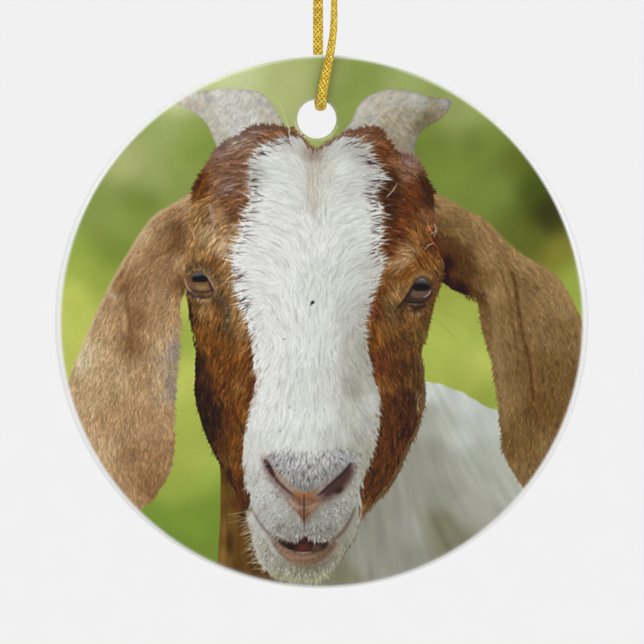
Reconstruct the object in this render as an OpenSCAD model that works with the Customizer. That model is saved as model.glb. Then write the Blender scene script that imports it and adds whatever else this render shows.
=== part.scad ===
// A flat round ceramic ornament on a loop of flat braided cord.
// The cord passes once through a hole near the rim, and its two ends share a knot at the top.
// +Z is up, the printed face looks towards -Y, and the origin is where a hook holds the loop.

/* [Disc] */
// Diameter of the disc
disc_d = 73; // [50:1:100]
// Thickness of the disc, coat included
disc_t = 4; // [3:0.5:6]
// Rounding of the rim on both faces
rim_round = 1; // [0.5:0.1:1.4]
// Thickness of the coat that carries the print
coat_t = 0.15; // [0.1:0.05:0.3]

/* [Hole] */
// Diameter of the hole
hole_d = 5.3; // [4.6:0.1:7]
// Distance from the middle of the disc to the middle of the hole
hole_reach = 27.75; // [26:0.05:29]
// Rounding of the hole's edges
hole_round = 0.7; // [0.6:0.05:0.9]
// Angle at which friction on the cord holds the disc
lean = 1.4; // [0:0.1:3]

/* [Cord] */
// Diameter of a plain tube with the section of the flat braid
cord_d = 1.1; // [0.9:0.05:1.1]
// Depth of the cord's centreline below the wall of the hole
cord_sink = 0.9; // [0.9:0.05:1.2]
// Diameter of the knot
knot_d = 4.6; // [4:0.1:4.8]
// Height of the knot's middle above the hook
knot_z = 3.6; // [3.6:0.1:4]
// Length of each free end above the knot
tail_l = 8; // [5:1:12]

/* [Hidden] */
fine = 96;
cord_sides = 8;

// The cord's route, from the knot down behind the disc, through the hole and up in front of it
arm_y = 2.7;
bend_r = 2;
bend_turn = 22.5;
bight_z = -70;
rear_x = -0.4;
front_x = 0.1;
cut_z = -54;

rear_route = [
    [-0.6, 0, 1],
    [-1.2, 0, -2],
    [-1.5, 0.2, -7],
    [-1.5, 0.5, -14],
    [-1.4, 0.9, -22],
    [-1.2, 1.4, -31],
    [-0.9, 2, -40],
    [-0.6, 2.5, -47],
    [-0.5, arm_y, -52],
    [-0.5, arm_y, cut_z],
    [-0.5, arm_y, -56],
    [-0.5, arm_y, -60],
    [-0.5, arm_y, -64]
];
front_route = [
    [0.3, -arm_y, -67],
    [0.6, -arm_y, -65.4],
    [1.1, -arm_y, -63],
    [1.6, -arm_y, -59.6],
    [1.7, -arm_y, -56],
    [1.7, -arm_y, cut_z],
    [1.7, -arm_y, -52],
    [1.7, -2.5, -47],
    [1.6, -2, -40],
    [1.6, -1.4, -31],
    [1.5, -0.9, -22],
    [1.5, -0.5, -14],
    [1.5, -0.2, -7],
    [1.2, 0, -2],
    [0.6, 0, 1]
];

// The bend under the wall of the hole: a quarter turn behind, a short floor and a quarter turn in front
function bend_point(side, turn) = [
    side > 0
        ? rear_x + (front_x - rear_x) * 0.4 * turn / 90
        : front_x - (front_x - rear_x) * 0.4 * turn / 90,
    side * (arm_y - bend_r + bend_r * cos(turn)),
    bight_z + bend_r - bend_r * sin(turn)
];
bend_route = concat(
    [for (turn = [0 : bend_turn : 90]) bend_point(1, turn)],
    [for (turn = [90 : -bend_turn : 0]) bend_point(-1, turn)]
);

// Rings halfway between the hand-set points, on a smooth curve through them
function midway(a, b, c, d) = (9 * (b + c) - a - d) / 16;
function smooth(route) = [
    for (i = [0 : len(route) - 1])
        each i == len(route) - 1
            ? [route[i]]
            : [
                route[i],
                midway(
                    route[max(i - 1, 0)],
                    route[i],
                    route[i + 1],
                    route[min(i + 2, len(route) - 1)]
                )
            ]
];
function part_of(list, first, last) = [for (i = [first : last]) list[i]];

rear_line = smooth(rear_route);
front_line = smooth(front_route);
rear_cut = search([cut_z], [for (p = rear_line) p[2]])[0];
front_cut = search([cut_z], [for (p = front_line) p[2]])[0];
cut_gap = [0, 0, 0.15];

// The disc hangs with its middle straight below the bight
hole_r = hole_d / 2;
hole_x = -hole_reach * sin(lean);
hole_z = hole_reach * cos(lean);
seat_r = hole_r - cord_sink;
disc_z = bight_z - hole_z - sqrt(seat_r * seat_r - hole_x * hole_x);

function unit(v) = v / norm(v);
function heading(line, i) = unit(line[min(i + 1, len(line) - 1)] - line[max(i - 1, 0)]);

// One ring of a tube, square to its line and level with the X axis
function ring(line, i) =
    let (
        along = heading(line, i),
        up = unit(cross([1, 0, 0], along)),
        across = cross(along, up)
    )
    [
        for (k = [0 : cord_sides - 1])
            line[i] + cord_d / 2 * (
                cos(360 * (k + 0.5) / cord_sides) * across
                + sin(360 * (k + 0.5) / cord_sides) * up
            )
    ];

module tube(line) {
    last = (len(line) - 1) * cord_sides;
    rings = [for (i = [0 : len(line) - 1]) each ring(line, i)];
    walls = [
        for (i = [0 : len(line) - 2], k = [0 : cord_sides - 1])
            let (
                next = (k + 1) % cord_sides,
                a = i * cord_sides,
                b = a + cord_sides
            )
            each [[a + k, b + k, b + next], [a + k, b + next, a + next]]
    ];
    start = [for (k = [0 : cord_sides - 1]) k];
    finish = [for (k = [cord_sides - 1 : -1 : 0]) last + k];
    polyhedron(rings, concat(walls, [start, finish]));
}

// Half sections of the round plate, with the printed face upwards
module plate_section() {
    flat_r = disc_d / 2 - rim_round;
    translate([0, -disc_t / 2])
        square([flat_r, disc_t - coat_t]);
    translate([0, rim_round - disc_t / 2])
        square([disc_d / 2, disc_t - 2 * rim_round]);
    translate([flat_r, rim_round - disc_t / 2])
        circle(rim_round, $fn = fine);
    translate([flat_r, disc_t / 2 - rim_round])
        circle(rim_round - coat_t, $fn = fine);
}

module coat_section() {
    flat_r = disc_d / 2 - rim_round;
    difference() {
        union() {
            translate([0, disc_t / 2 - coat_t])
                square([flat_r, coat_t]);
            intersection() {
                translate([flat_r, disc_t / 2 - rim_round])
                    circle(rim_round, $fn = fine);
                translate([flat_r, disc_t / 2 - rim_round])
                    square(rim_round);
            }
        }
        translate([flat_r, disc_t / 2 - rim_round])
            circle(rim_round - coat_t, $fn = fine);
    }
}

// What the hole takes away: its wall and the rounded edge on each face
module flare() {
    rotate_extrude($fn = fine)
        difference() {
            translate([0, disc_t / 2 - hole_round])
                square([hole_r + hole_round, 2 * hole_round]);
            translate([hole_r + hole_round, disc_t / 2 - hole_round])
                circle(hole_round, $fn = fine);
        }
}

module hole_cut() {
    translate([hole_x, hole_z, 0]) {
        cylinder(h = 2 * disc_t, r = hole_r, center = true, $fn = fine);
        flare();
        mirror([0, 0, 1])
            flare();
    }
}

module hang() {
    translate([0, 0, disc_z])
        rotate([90, 0, 0])
            children();
}

module ceramic_disc() {
    color("ivory")
        hang()
            difference() {
                rotate_extrude($fn = fine)
                    plate_section();
                hole_cut();
            }
}

module printed_coat() {
    color("darkkhaki")
        hang()
            difference() {
                rotate_extrude($fn = fine)
                    coat_section();
                hole_cut();
            }
}

// The bend through the hole, with both strands up to where they turn against the loop
module cord_bight() {
    color("gold")
        tube(concat(
            [rear_line[rear_cut] - cut_gap],
            part_of(rear_line, rear_cut + 1, len(rear_line) - 1),
            bend_route,
            part_of(front_line, 0, front_cut - 1),
            [front_line[front_cut] - cut_gap]
        ));
}

module cord_rear() {
    color("gold")
        tube(concat(
            part_of(rear_line, 0, rear_cut - 1),
            [rear_line[rear_cut] + cut_gap]
        ));
}

module cord_front() {
    color("gold")
        tube(concat(
            [front_line[front_cut] + cut_gap],
            part_of(front_line, front_cut + 1, len(front_line) - 1)
        ));
}

module cord_knot() {
    color("goldenrod")
        translate([0, 0, knot_z])
            sphere(d = knot_d, $fn = fine);
}

module cord_tails() {
    tail_z = knot_z + knot_d / 2;
    color("gold")
        for (side = [-1, 1])
            tube([
                [side * 0.7, 0, tail_z - 0.6],
                [side * 0.9, side * 0.2, tail_z + tail_l / 3],
                [side * 1.4, side * 0.5, tail_z + tail_l * 2 / 3],
                [side * 2.2, side * 0.8, tail_z + tail_l]
            ]);
}

ceramic_disc();
printed_coat();
cord_bight();
cord_rear();
cord_front();
cord_knot();
cord_tails();
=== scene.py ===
"""A round glazed ceramic ornament with a printed goat, on a loop of gold braided cord.

Lengths in the routes and in the print are millimetres, and objects are in metres.
"""

import math

import bpy
import numpy as np
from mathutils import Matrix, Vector


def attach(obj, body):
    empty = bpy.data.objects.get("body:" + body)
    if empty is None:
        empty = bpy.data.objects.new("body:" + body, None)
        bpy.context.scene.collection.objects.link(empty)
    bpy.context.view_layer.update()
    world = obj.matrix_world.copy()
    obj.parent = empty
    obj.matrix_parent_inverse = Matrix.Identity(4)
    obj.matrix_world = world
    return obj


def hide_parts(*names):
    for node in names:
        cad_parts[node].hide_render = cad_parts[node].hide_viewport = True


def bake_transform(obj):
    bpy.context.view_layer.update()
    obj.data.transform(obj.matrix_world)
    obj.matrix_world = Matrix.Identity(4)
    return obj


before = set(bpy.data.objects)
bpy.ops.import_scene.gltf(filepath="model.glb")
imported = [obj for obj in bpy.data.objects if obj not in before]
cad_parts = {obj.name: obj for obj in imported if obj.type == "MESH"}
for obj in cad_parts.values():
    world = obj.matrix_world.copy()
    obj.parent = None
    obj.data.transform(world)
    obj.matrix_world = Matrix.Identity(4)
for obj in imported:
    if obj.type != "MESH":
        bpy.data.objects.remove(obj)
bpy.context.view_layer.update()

MM = 0.001
# Keeps a length that may be nothing from being divided by
TINY = 1e-9

# The disc, as the CAD has it
DISC_Z = -99.355
DISC_RADIUS = 36.5
FACE_Y = -2.0
RIM_ROUND = 1.0
HOLE_RADIUS = 2.65
HOLE_ROUND = 0.7
HOLE_X, HOLE_Z = -0.678, 27.742

# ---------------------------------------------------------------------------
# Camera
# ---------------------------------------------------------------------------
VIEW_WIDTH = 88.0
CAMERA_AWAY = 600.0
CAMERA_X, CAMERA_Z = 0.04, DISC_Z - 0.05


def add_camera():
    data = bpy.data.cameras.new("camera")
    data.sensor_width = 36.0
    data.lens = data.sensor_width * (CAMERA_AWAY + FACE_Y) / VIEW_WIDTH
    data.clip_start = 0.01
    data.clip_end = 20.0
    camera = bpy.data.objects.new("camera", data)
    camera.location = (CAMERA_X * MM, -CAMERA_AWAY * MM, CAMERA_Z * MM)
    camera.rotation_euler = (math.radians(90), 0, 0)
    bpy.context.scene.collection.objects.link(camera)
    bpy.context.scene.camera = camera


add_camera()

# ---------------------------------------------------------------------------
# Mesh helpers
# ---------------------------------------------------------------------------


def add_mesh(name, vertices, faces, materials, slots=None):
    """A smooth-shaded object from vertices in millimetres and faces."""
    mesh = bpy.data.meshes.new(name)
    mesh.from_pydata([tuple(v) for v in np.asarray(vertices) * MM], [], faces)
    for material in materials:
        mesh.materials.append(material)
    if slots is not None:
        mesh.polygons.foreach_set("material_index", np.asarray(slots, np.int32))
    mesh.polygons.foreach_set("use_smooth", np.full(len(mesh.polygons), True))
    mesh.update()
    obj = bpy.data.objects.new(name, mesh)
    bpy.context.scene.collection.objects.link(obj)
    return obj


def node(tree, kind, **settings):
    """A shader node; a setting that names an input sets its value, and any other sets a property."""
    made = tree.nodes.new(kind)
    for key, value in settings.items():
        label = key.replace("_", " ")
        if label in made.inputs:
            made.inputs[label].default_value = value
        else:
            setattr(made, key, value)
    return made


def new_material(name):
    material = bpy.data.materials.new(name)
    material.use_nodes = True
    shader = material.node_tree.nodes["Principled BSDF"]
    return material, material.node_tree, shader


def mix(tree, mode, factor, first, second):
    """A colour mix; factor and colours may be sockets or plain values."""
    made = tree.nodes.new("ShaderNodeMix")
    made.data_type = "RGBA"
    made.blend_type = mode
    for socket, value in ((made.inputs[0], factor), (made.inputs[6], first), (made.inputs[7], second)):
        if isinstance(value, bpy.types.NodeSocket):
            tree.links.new(value, socket)
        else:
            socket.default_value = value
    return made.outputs[2]


def ramp(tree, source, low, high, start, end):
    """source from low to high, remapped to start..end and held beyond."""
    made = node(tree, "ShaderNodeMapRange", From_Min=low, From_Max=high, To_Min=start, To_Max=end)
    tree.links.new(source, made.inputs["Value"])
    return made.outputs["Result"]


def linear(colour):
    """A colour of 0..255 steps as linear light."""
    c = np.asarray(colour, float) / 255
    return np.where(c <= 0.04045, c / 12.92, ((c + 0.055) / 1.055) ** 2.4)


def rgba(colour):
    return (*linear(colour), 1.0)


# ---------------------------------------------------------------------------
# Cord: a flat braid of six yarns each way over a core, coloured near-black brown as painted shade in the
# gaps between the yarns
# ---------------------------------------------------------------------------
BRAID_WIDE = 1.5
BRAID_THICK = 0.98
BRAID_PITCH = 4.0
YARNS_EACH_WAY = 6
YARN_WIDE, YARN_THICK = 0.36, 0.23
# How far a yarn rises and dips as it passes over and under the others
WEAVE = 0.08
STITCH = 2 * BRAID_PITCH / (2 * YARNS_EACH_WAY)
YARN_SIDES = 6
BRAID_SPACING = 0.2
CORE_SIDES = 10

# The cord's way: down behind the disc, round the bend through its hole, and up in front
ARM_Y, BEND_R, BIGHT_Z = 2.7, 2.0, -70.0
REAR_X, FRONT_X = -0.4, 0.1
REAR_ROUTE = [
    (-0.6, 0, 1), (-1.2, 0, -2), (-1.5, 0.2, -7), (-1.5, 0.5, -14), (-1.4, 0.9, -22), (-1.2, 1.4, -31),
    (-0.9, 2, -40), (-0.6, 2.5, -47), (-0.5, ARM_Y, -52), (-0.5, ARM_Y, -54), (-0.5, ARM_Y, -56),
    (-0.5, ARM_Y, -60), (-0.5, ARM_Y, -64),
]
FRONT_ROUTE = [
    (0.3, -ARM_Y, -67), (0.6, -ARM_Y, -65.4), (1.1, -ARM_Y, -63), (1.6, -ARM_Y, -59.6), (1.7, -ARM_Y, -56),
    (1.7, -ARM_Y, -54), (1.7, -ARM_Y, -52), (1.7, -2.5, -47), (1.6, -2, -40), (1.6, -1.4, -31),
    (1.5, -0.9, -22), (1.5, -0.5, -14), (1.5, -0.2, -7), (1.2, 0, -2), (0.6, 0, 1),
]


def bend_point(side, turn):
    """A point of the bend under the hole's wall, behind the disc (side 1) or before it (side -1)."""
    a = math.radians(turn)
    part = 0.4 * turn / 90
    start, end = (REAR_X, FRONT_X) if side > 0 else (FRONT_X, REAR_X)
    x = start + (end - start) * part
    y = side * (ARM_Y - BEND_R + BEND_R * math.cos(a))
    return (x, y, BIGHT_Z + BEND_R - BEND_R * math.sin(a))


BEND_TURNS = (0, 22.5, 45, 67.5, 90)
BEND_ROUTE = [bend_point(1, turn) for turn in BEND_TURNS]
BEND_ROUTE += [bend_point(-1, turn) for turn in reversed(BEND_TURNS)]


def even_line(route, spacing, per=10):
    """Points at an even spacing along the smooth line through a route, and how far along each one is."""
    p = np.asarray(route, float)
    q = np.vstack([2 * p[0] - p[1], p, 2 * p[-1] - p[-2]])
    a, b, c, d = q[:-3], q[1:-2], q[2:-1], q[3:]

    def gap(first, second):
        """The square root of the chord, which keeps close points from making loops."""
        return np.sqrt(np.linalg.norm(second - first, axis=1))[:, None] + TINY

    ab, bc, cd = gap(a, b), gap(b, c), gap(c, d)
    start = bc * ((b - a) / ab - (c - a) / (ab + bc) + (c - b) / bc)
    end = bc * ((c - b) / bc - (d - b) / (bc + cd) + (d - c) / cd)
    t = np.linspace(0, 1, per, endpoint=False)[:, None, None]
    line = (2 * t**3 - 3 * t**2 + 1) * b + (t**3 - 2 * t**2 + t) * start
    line = line + (3 * t**2 - 2 * t**3) * c + (t**3 - t**2) * end
    line = np.vstack([line.transpose(1, 0, 2).reshape(-1, 3), p[-1:]])
    reach = np.concatenate([[0], np.cumsum(np.linalg.norm(np.diff(line, axis=0), axis=1))])
    at = np.linspace(0, reach[-1], int(round(reach[-1] / spacing)) + 1)
    return np.stack([np.interp(at, reach, line[:, k]) for k in range(3)], -1), at


def unit(vectors):
    """The vectors at length 1."""
    return vectors / np.maximum(np.linalg.norm(vectors, axis=-1, keepdims=True), 1e-12)


def tube(centres, across, out, sides, half_wide, half_thick):
    """Rings round a line, and the quads and end caps that join them."""
    turn = np.arange(sides) * 2 * math.pi / sides
    half_wide = np.broadcast_to(half_wide, len(centres))[:, None, None]
    half_thick = np.broadcast_to(half_thick, len(centres))[:, None, None]
    rings = centres[:, None] + half_wide * np.cos(turn)[None, :, None] * across[:, None]
    rings = rings + half_thick * np.sin(turn)[None, :, None] * out[:, None]
    count = len(centres)
    first = np.arange(count - 1)[:, None] * sides + np.arange(sides)[None, :]
    second = np.arange(count - 1)[:, None] * sides + (np.arange(sides)[None, :] + 1) % sides
    quads = np.stack([first, second, second + sides, first + sides], -1).reshape(-1, 4).tolist()
    caps = [list(range(sides))[::-1], list(range((count - 1) * sides, count * sides))]
    return rings.reshape(-1, 3), quads + caps


def braid(route, twist, seed, scale=1.0):
    """Vertices, faces, material slots and per-vertex yarn values (stitch tone, painted light on the crowns,
    painted shade where a yarn dips under) of a flat braid along a route.

    twist gives the turn of its wide side away from the X axis, in degrees, at shares of its length.
    """
    line, at = even_line(route, BRAID_SPACING)
    along = unit(np.gradient(line, axis=0))
    turn = np.radians(np.interp(at / at[-1], twist[0], twist[1]))[:, None]
    level = np.array([1.0, 0, 0])
    level = unit(level - (along @ level)[:, None] * along)
    square = np.cross(along, level)
    wide = np.cos(turn) * level + np.sin(turn) * square
    thin = np.cross(along, wide)
    half_wide = scale * (BRAID_WIDE / 2 - YARN_THICK / 2 - WEAVE)
    half_thin = scale * (BRAID_THICK / 2 - YARN_THICK / 2 - WEAVE)
    rng = np.random.default_rng(seed)
    vertices, faces, slots, tones_and_shade = [], [], [], []
    total = 0

    def keep(points, polygons, slot, tint):
        nonlocal total
        vertices.append(points)
        faces.extend([[k + total for k in polygon] for polygon in polygons])
        slots.extend([slot] * len(polygons))
        tones_and_shade.append(tint)
        total += len(points)

    # the core: its near-black brown is painted shade where it shows between the yarns
    points, polygons = tube(line, wide, thin, CORE_SIDES, half_wide - 0.02, half_thin - 0.02)
    keep(points, polygons, 1, np.full((len(points), 3), 0.5))
    for way in (1, -1):
        for k in range(YARNS_EACH_WAY):
            angle = way * 2 * math.pi * at / BRAID_PITCH + 2 * math.pi * k / YARNS_EACH_WAY
            wave = way * WEAVE * np.cos(2 * YARNS_EACH_WAY * math.pi * at / BRAID_PITCH)
            c, s = np.cos(angle)[:, None], np.sin(angle)[:, None]
            lift = wave[:, None]
            centre = line + (half_wide + lift) * c * wide + (half_thin + lift) * s * thin
            heading = unit(np.gradient(centre, axis=0))
            out = unit(c / half_wide * wide + s / half_thin * thin)
            across = unit(np.cross(heading, out))
            out = np.cross(across, heading)
            points, polygons = tube(
                centre, across, out, YARN_SIDES, scale * YARN_WIDE / 2, scale * YARN_THICK / 2,
            )
            # each stitch a random tone between gold and a brighter gold that is a painted highlight
            stitches = rng.uniform(0, 1, int(at[-1] / STITCH) + 3)
            stitch = np.repeat(stitches[(at / STITCH).astype(int)], YARN_SIDES)
            # painted light and shade round each yarn: 1 on its outer crown, 0 on its shaded underside
            lit_crown = np.tile(0.5 + 0.5 * np.sin(np.arange(YARN_SIDES) * 2 * math.pi / YARN_SIDES), len(at))
            # painted shade where the yarn dips under the others: 0 there, 1 where it passes over
            height = np.repeat(0.5 + 0.5 * wave / WEAVE, YARN_SIDES)
            keep(points, polygons, 0, np.stack([stitch, lit_crown, height], -1))
    return np.vstack(vertices), faces, slots, np.vstack(tones_and_shade)


def join(parts):
    """Several (vertices, faces, slots, tints) as one."""
    vertices, faces, slots, tones_and_shade, total = [], [], [], [], 0
    for points, polygons, slot, tint in parts:
        vertices.append(points)
        faces += [[k + total for k in polygon] for polygon in polygons]
        slots += slot
        tones_and_shade.append(tint)
        total += len(points)
    return np.vstack(vertices), faces, slots, np.vstack(tones_and_shade)


def add_braid(name, part):
    vertices, faces, slots, tones_and_shade = part
    obj = add_mesh(name, vertices, faces, [gold_yarn, core_in_painted_shade], slots)
    tint = obj.data.color_attributes.new("yarn", "FLOAT_COLOR", "POINT")
    tint.data.foreach_set("color", np.hstack([tones_and_shade, np.ones((len(tones_and_shade), 1))]).ravel())
    return obj


def make_gold_yarn():
    """Twisted metallic yarn: each stitch a random gold tone up to a painted highlight, with painted shade
    in brown where a yarn dips under and on its sides between the fibres.
    """
    material, tree, shader = new_material("gold yarn")
    yarn = node(tree, "ShaderNodeVertexColor", layer_name="yarn")
    split = node(tree, "ShaderNodeSeparateColor")
    tree.links.new(yarn.outputs["Color"], split.inputs[0])
    place = node(tree, "ShaderNodeTexCoord")
    coarse = node(tree, "ShaderNodeTexNoise", Scale=2600.0, Detail=3.0, Roughness=0.6)
    tree.links.new(place.outputs["Object"], coarse.inputs["Vector"])
    fine = node(tree, "ShaderNodeTexNoise", Scale=9000.0, Detail=2.0)
    tree.links.new(place.outputs["Object"], fine.inputs["Vector"])
    lit_crown = ramp(tree, split.outputs[1], 0.3, 0.85, 0.0, 1.0)
    height = ramp(tree, split.outputs[2], 0.0, 0.6, 0.0, 1.0)
    # the brighter of the two golds is a painted highlight
    base = mix(tree, "MIX", split.outputs[0], rgba((218, 170, 34)), rgba((252, 228, 92)))
    base = mix(
        tree, "MIX", ramp(tree, coarse.outputs["Fac"], 0.45, 0.3, 0.0, 0.5), base, rgba((142, 104, 24)),
    )
    # painted shade: brown where a yarn dips under the others, and dark brown on its sides away from its
    # crown
    base = mix(tree, "MIX", height, rgba((138, 98, 26)), base)
    base = mix(tree, "MIX", lit_crown, rgba((54, 36, 12)), base)
    tree.links.new(base, shader.inputs["Base Color"])
    shader.inputs["Metallic"].default_value = 0.35
    tree.links.new(ramp(tree, fine.outputs["Fac"], 0.3, 0.7, 0.24, 0.5), shader.inputs["Roughness"])
    bump = node(tree, "ShaderNodeBump", Strength=0.6, Distance=0.00004)
    tree.links.new(fine.outputs["Fac"], bump.inputs["Height"])
    tree.links.new(bump.outputs["Normal"], shader.inputs["Normal"])
    return material


# The cord's core material: a near-black brown that is painted shade in the gaps between the yarns and in
# the knot's middle
def make_core_in_painted_shade():
    material, tree, shader = new_material("cord core")
    place = node(tree, "ShaderNodeTexCoord")
    grain = node(tree, "ShaderNodeTexNoise", Scale=4000.0, Detail=2.0)
    tree.links.new(place.outputs["Object"], grain.inputs["Vector"])
    base = mix(tree, "MIX", grain.outputs["Fac"], rgba((26, 14, 4)), rgba((74, 44, 12)))
    tree.links.new(base, shader.inputs["Base Color"])
    shader.inputs["Roughness"].default_value = 0.8
    return material


gold_yarn = make_gold_yarn()
core_in_painted_shade = make_core_in_painted_shade()

KNOT_Z = 3.6
LOOP_ROUTE = REAR_ROUTE + BEND_ROUTE + FRONT_ROUTE
# Shares of the loop's length, and there the turn of the braid's wide side away from X in degrees: it
# lies along X behind the hole and in the bend, and edge on at the knot
LOOP_TWIST = ([
    0, 0.08, 0.3, 0.42, 0.5, 0.515, 0.56, 0.62, 0.9, 1,
], [90, 90, 60, 0, 0, 0, -45, -90, -90, -90])


def turned(points, side):
    """The points as they are for side -1, and half a turn round the Z axis for side 1."""
    return [(-x, -y, z) for x, y, z in points] if side > 0 else points


def knot_route(side):
    """One strand through the knot: up from the loop, round it and out at the top."""
    points = [(-0.6, 0, 0.6), (-0.75, -0.25, 1.2)]
    for turn in range(0, 421, 35):
        share = turn / 420
        radius = 1.15 + 0.5 * math.sin(math.pi * share)
        a = math.radians(210 + turn)
        points.append((radius * math.cos(a), radius * math.sin(a), 1.95 + 3.1 * share))
    points += [(-0.3, 0.35, 5.5), (-0.62, 0.1, 5.9)]
    return turned(points, side)


def fray(tip, heading, count, seed):
    """Loose fibres at the end of a cut cord."""
    rng = np.random.default_rng(seed)
    heading = unit(np.asarray(heading, float))
    parts = []
    for _ in range(count):
        spread_out = rng.normal(0, 0.35, 3)
        start = np.asarray(tip) + rng.normal(0, 0.26, 3) * (1, 0.8, 0.4) - 0.5 * heading
        size = rng.uniform(0.9, 1.7)
        middle = start + heading * size * 0.5 + spread_out * 0.25
        end = start + heading * size + spread_out * 0.9
        line, _ = even_line([start, middle, end], 0.3, 4)
        along = unit(np.gradient(line, axis=0))
        side = unit(np.cross(along, (0.3, 0.5, 0.8)))
        taper = np.linspace(0.045, 0.02, len(line))
        points, polygons = tube(line, side, np.cross(along, side), 4, taper, taper)
        parts.append(
            (points, polygons, [0] * len(polygons), np.full((len(points), 3), rng.uniform(0.3, 0.8)))
        )
    return join(parts)


def knot_core():
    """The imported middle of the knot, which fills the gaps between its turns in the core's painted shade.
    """
    rings, sides, wide, tall = 14, 24, 1.25, 1.9
    points, polygons = [], []
    for i in range(rings + 1):
        a = math.pi * i / rings
        for k in range(sides):
            b = 2 * math.pi * k / sides
            x, y = wide * math.sin(a) * math.cos(b), wide * math.sin(a) * math.sin(b)
            points.append((x, y, KNOT_Z + tall * math.cos(a)))
    for i in range(rings):
        for k in range(sides):
            a, b = i * sides + k, i * sides + (k + 1) % sides
            polygons.append([a, b, b + sides, a + sides])
    return np.array(points), polygons, [1] * len(polygons), np.full((len(points), 3), 0.5)


TAIL = [(-0.55, 0.1, 5.4), (-0.8, -0.1, 7.2), (-1, -0.25, 8.9), (-1.4, -0.5, 11.2), (-2, -0.72, 13.2)]


def make_cord():
    cord = add_braid("cord_loop", braid(LOOP_ROUTE, LOOP_TWIST, 7))
    knot_parts, tail_parts = [knot_core()], []
    for side in (-1, 1):
        knot_parts.append(
            braid(knot_route(side), ([0, 0.1, 0.9, 1], [90, 90, 90, 90]), 20 + side, scale=0.96)
        )
        tail = turned(TAIL, side)
        tail_parts.append(braid(tail, ([0, 1], [60, 20]), 30 + side))
        tail_parts.append(fray(tail[-1], np.subtract(tail[-1], tail[-2]), 46, 40 + side))
    knot = add_braid("knot", join(knot_parts))
    tails = add_braid("cord_ends", join(tail_parts))
    path, _ = even_line(LOOP_ROUTE, 1.2)
    length = even_line(LOOP_ROUTE, BRAID_SPACING)[1][-1] * MM
    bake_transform(cord)
    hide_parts("cord_bight", "cord_rear", "cord_front")
    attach(knot, "knot")
    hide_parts("cord_knot")
    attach(tails, "knot")
    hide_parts("cord_tails")
    print("cord length in mm:", round(length / MM, 1))


make_cord()

# ---------------------------------------------------------------------------
# The print: a field of colour in millimetres from the middle of the disc,
# painted in layers with soft outlines, spread colours and combed hair.
# ---------------------------------------------------------------------------
CELL = 0.1
HALF = 37.2
SIDE = int(round(2 * HALF / CELL))
AXIS = (np.arange(SIDE) + 0.5) * CELL - HALF
ACROSS, UP = np.meshgrid(AXIS, AXIS)
FREQUENCY_SQUARED = (
    np.fft.fftfreq(SIDE, CELL)[:, None] ** 2 + np.fft.rfftfreq(SIDE, CELL)[None, :] ** 2
)


PRINT = np.zeros((SIDE, SIDE, 3))
# Colour spots are spread on a grid that is this many cells coarser
COARSE = 5
CURVE_STEPS = 8
HAIR_STEPS = 22
HAIR_CURL = 0.25
COAT_LEAN = 0.2


def curve(points, closed=True):
    """A smooth line through given points."""
    p = np.asarray(points, float)
    if closed:
        a, b, c, d = (np.roll(p, k, 0) for k in (1, 0, -1, -2))
    else:
        q = np.vstack([p[:1], p, p[-1:]])
        a, b, c, d = q[:-3], q[1:-2], q[2:-1], q[3:]
    t = np.linspace(0, 1, CURVE_STEPS, endpoint=False)[:, None, None]
    line = 2 * b + (c - a) * t + (2 * a - 5 * b + 4 * c - d) * t**2 + (3 * b - a - 3 * c + d) * t**3
    line = 0.5 * line
    line = line.transpose(1, 0, 2).reshape(-1, 2)
    return line if closed else np.vstack([line, p[-1:]])


def fill(points):
    """1 inside the smooth outline through the points, 0 outside it."""
    ax, az = curve(points).T
    bx, bz = np.roll(ax, -1), np.roll(az, -1)
    inside = np.zeros((SIDE, SIDE))
    for row in np.flatnonzero((AXIS > az.min()) & (AXIS < az.max())):
        z = AXIS[row]
        hit = (az > z) != (bz > z)
        x = np.sort(ax[hit] + (z - az[hit]) / (bz[hit] - az[hit]) * (bx[hit] - ax[hit]))
        for left, right in zip(x[::2], x[1::2]):
            inside[row] += np.clip((right - AXIS) / CELL + 0.5, 0, 1)
            inside[row] -= np.clip((left - AXIS) / CELL + 0.5, 0, 1)
    return inside


def blur(grid, sigma):
    """The grid softened by a Gaussian of that many millimetres."""
    keep = np.exp(-2 * np.pi**2 * sigma**2 * FREQUENCY_SQUARED)
    return np.fft.irfft2(np.fft.rfft2(grid) * keep, (SIDE, SIDE))


def noise(seed, sigma):
    """Even noise with features of about that many millimetres, and a deviation of 1."""
    soft = blur(np.random.default_rng(seed).standard_normal((SIDE, SIDE)), sigma)
    return soft / soft.std()


def spread(anchors, reach=0.8):
    """Values set at listed spots (x, z, value), spread smoothly over the whole field."""
    coarse = AXIS[COARSE // 2 :: COARSE]
    x, z = np.meshgrid(coarse, coarse)
    total = 0
    weight = 0
    for ax, az, value in anchors:
        near = 1 / ((x - ax) ** 2 + (z - az) ** 2 + reach**2) ** 2
        total = total + near[..., None] * np.asarray(value, float)
        weight = weight + near
    even = total / weight[..., None]
    share = np.clip(1 - abs(AXIS[:, None] - coarse[None, :]) / (COARSE * CELL), 0, 1)
    share /= share.sum(1, keepdims=True)
    return np.stack([share @ even[..., k] @ share.T for k in range(even.shape[2])], -1)


def flow(anchors):
    """The lie of the hair as an angle, from angles in degrees at listed spots."""
    # doubled angles, because hair at 0 and at 180 degrees lies the same way
    doubled = []
    for x, z, degrees in anchors:
        a = math.radians(2 * degrees)
        doubled.append((x, z, (math.cos(a), math.sin(a))))
    field = spread(doubled, 1.5)
    return 0.5 * np.arctan2(field[..., 1], field[..., 0])


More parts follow.
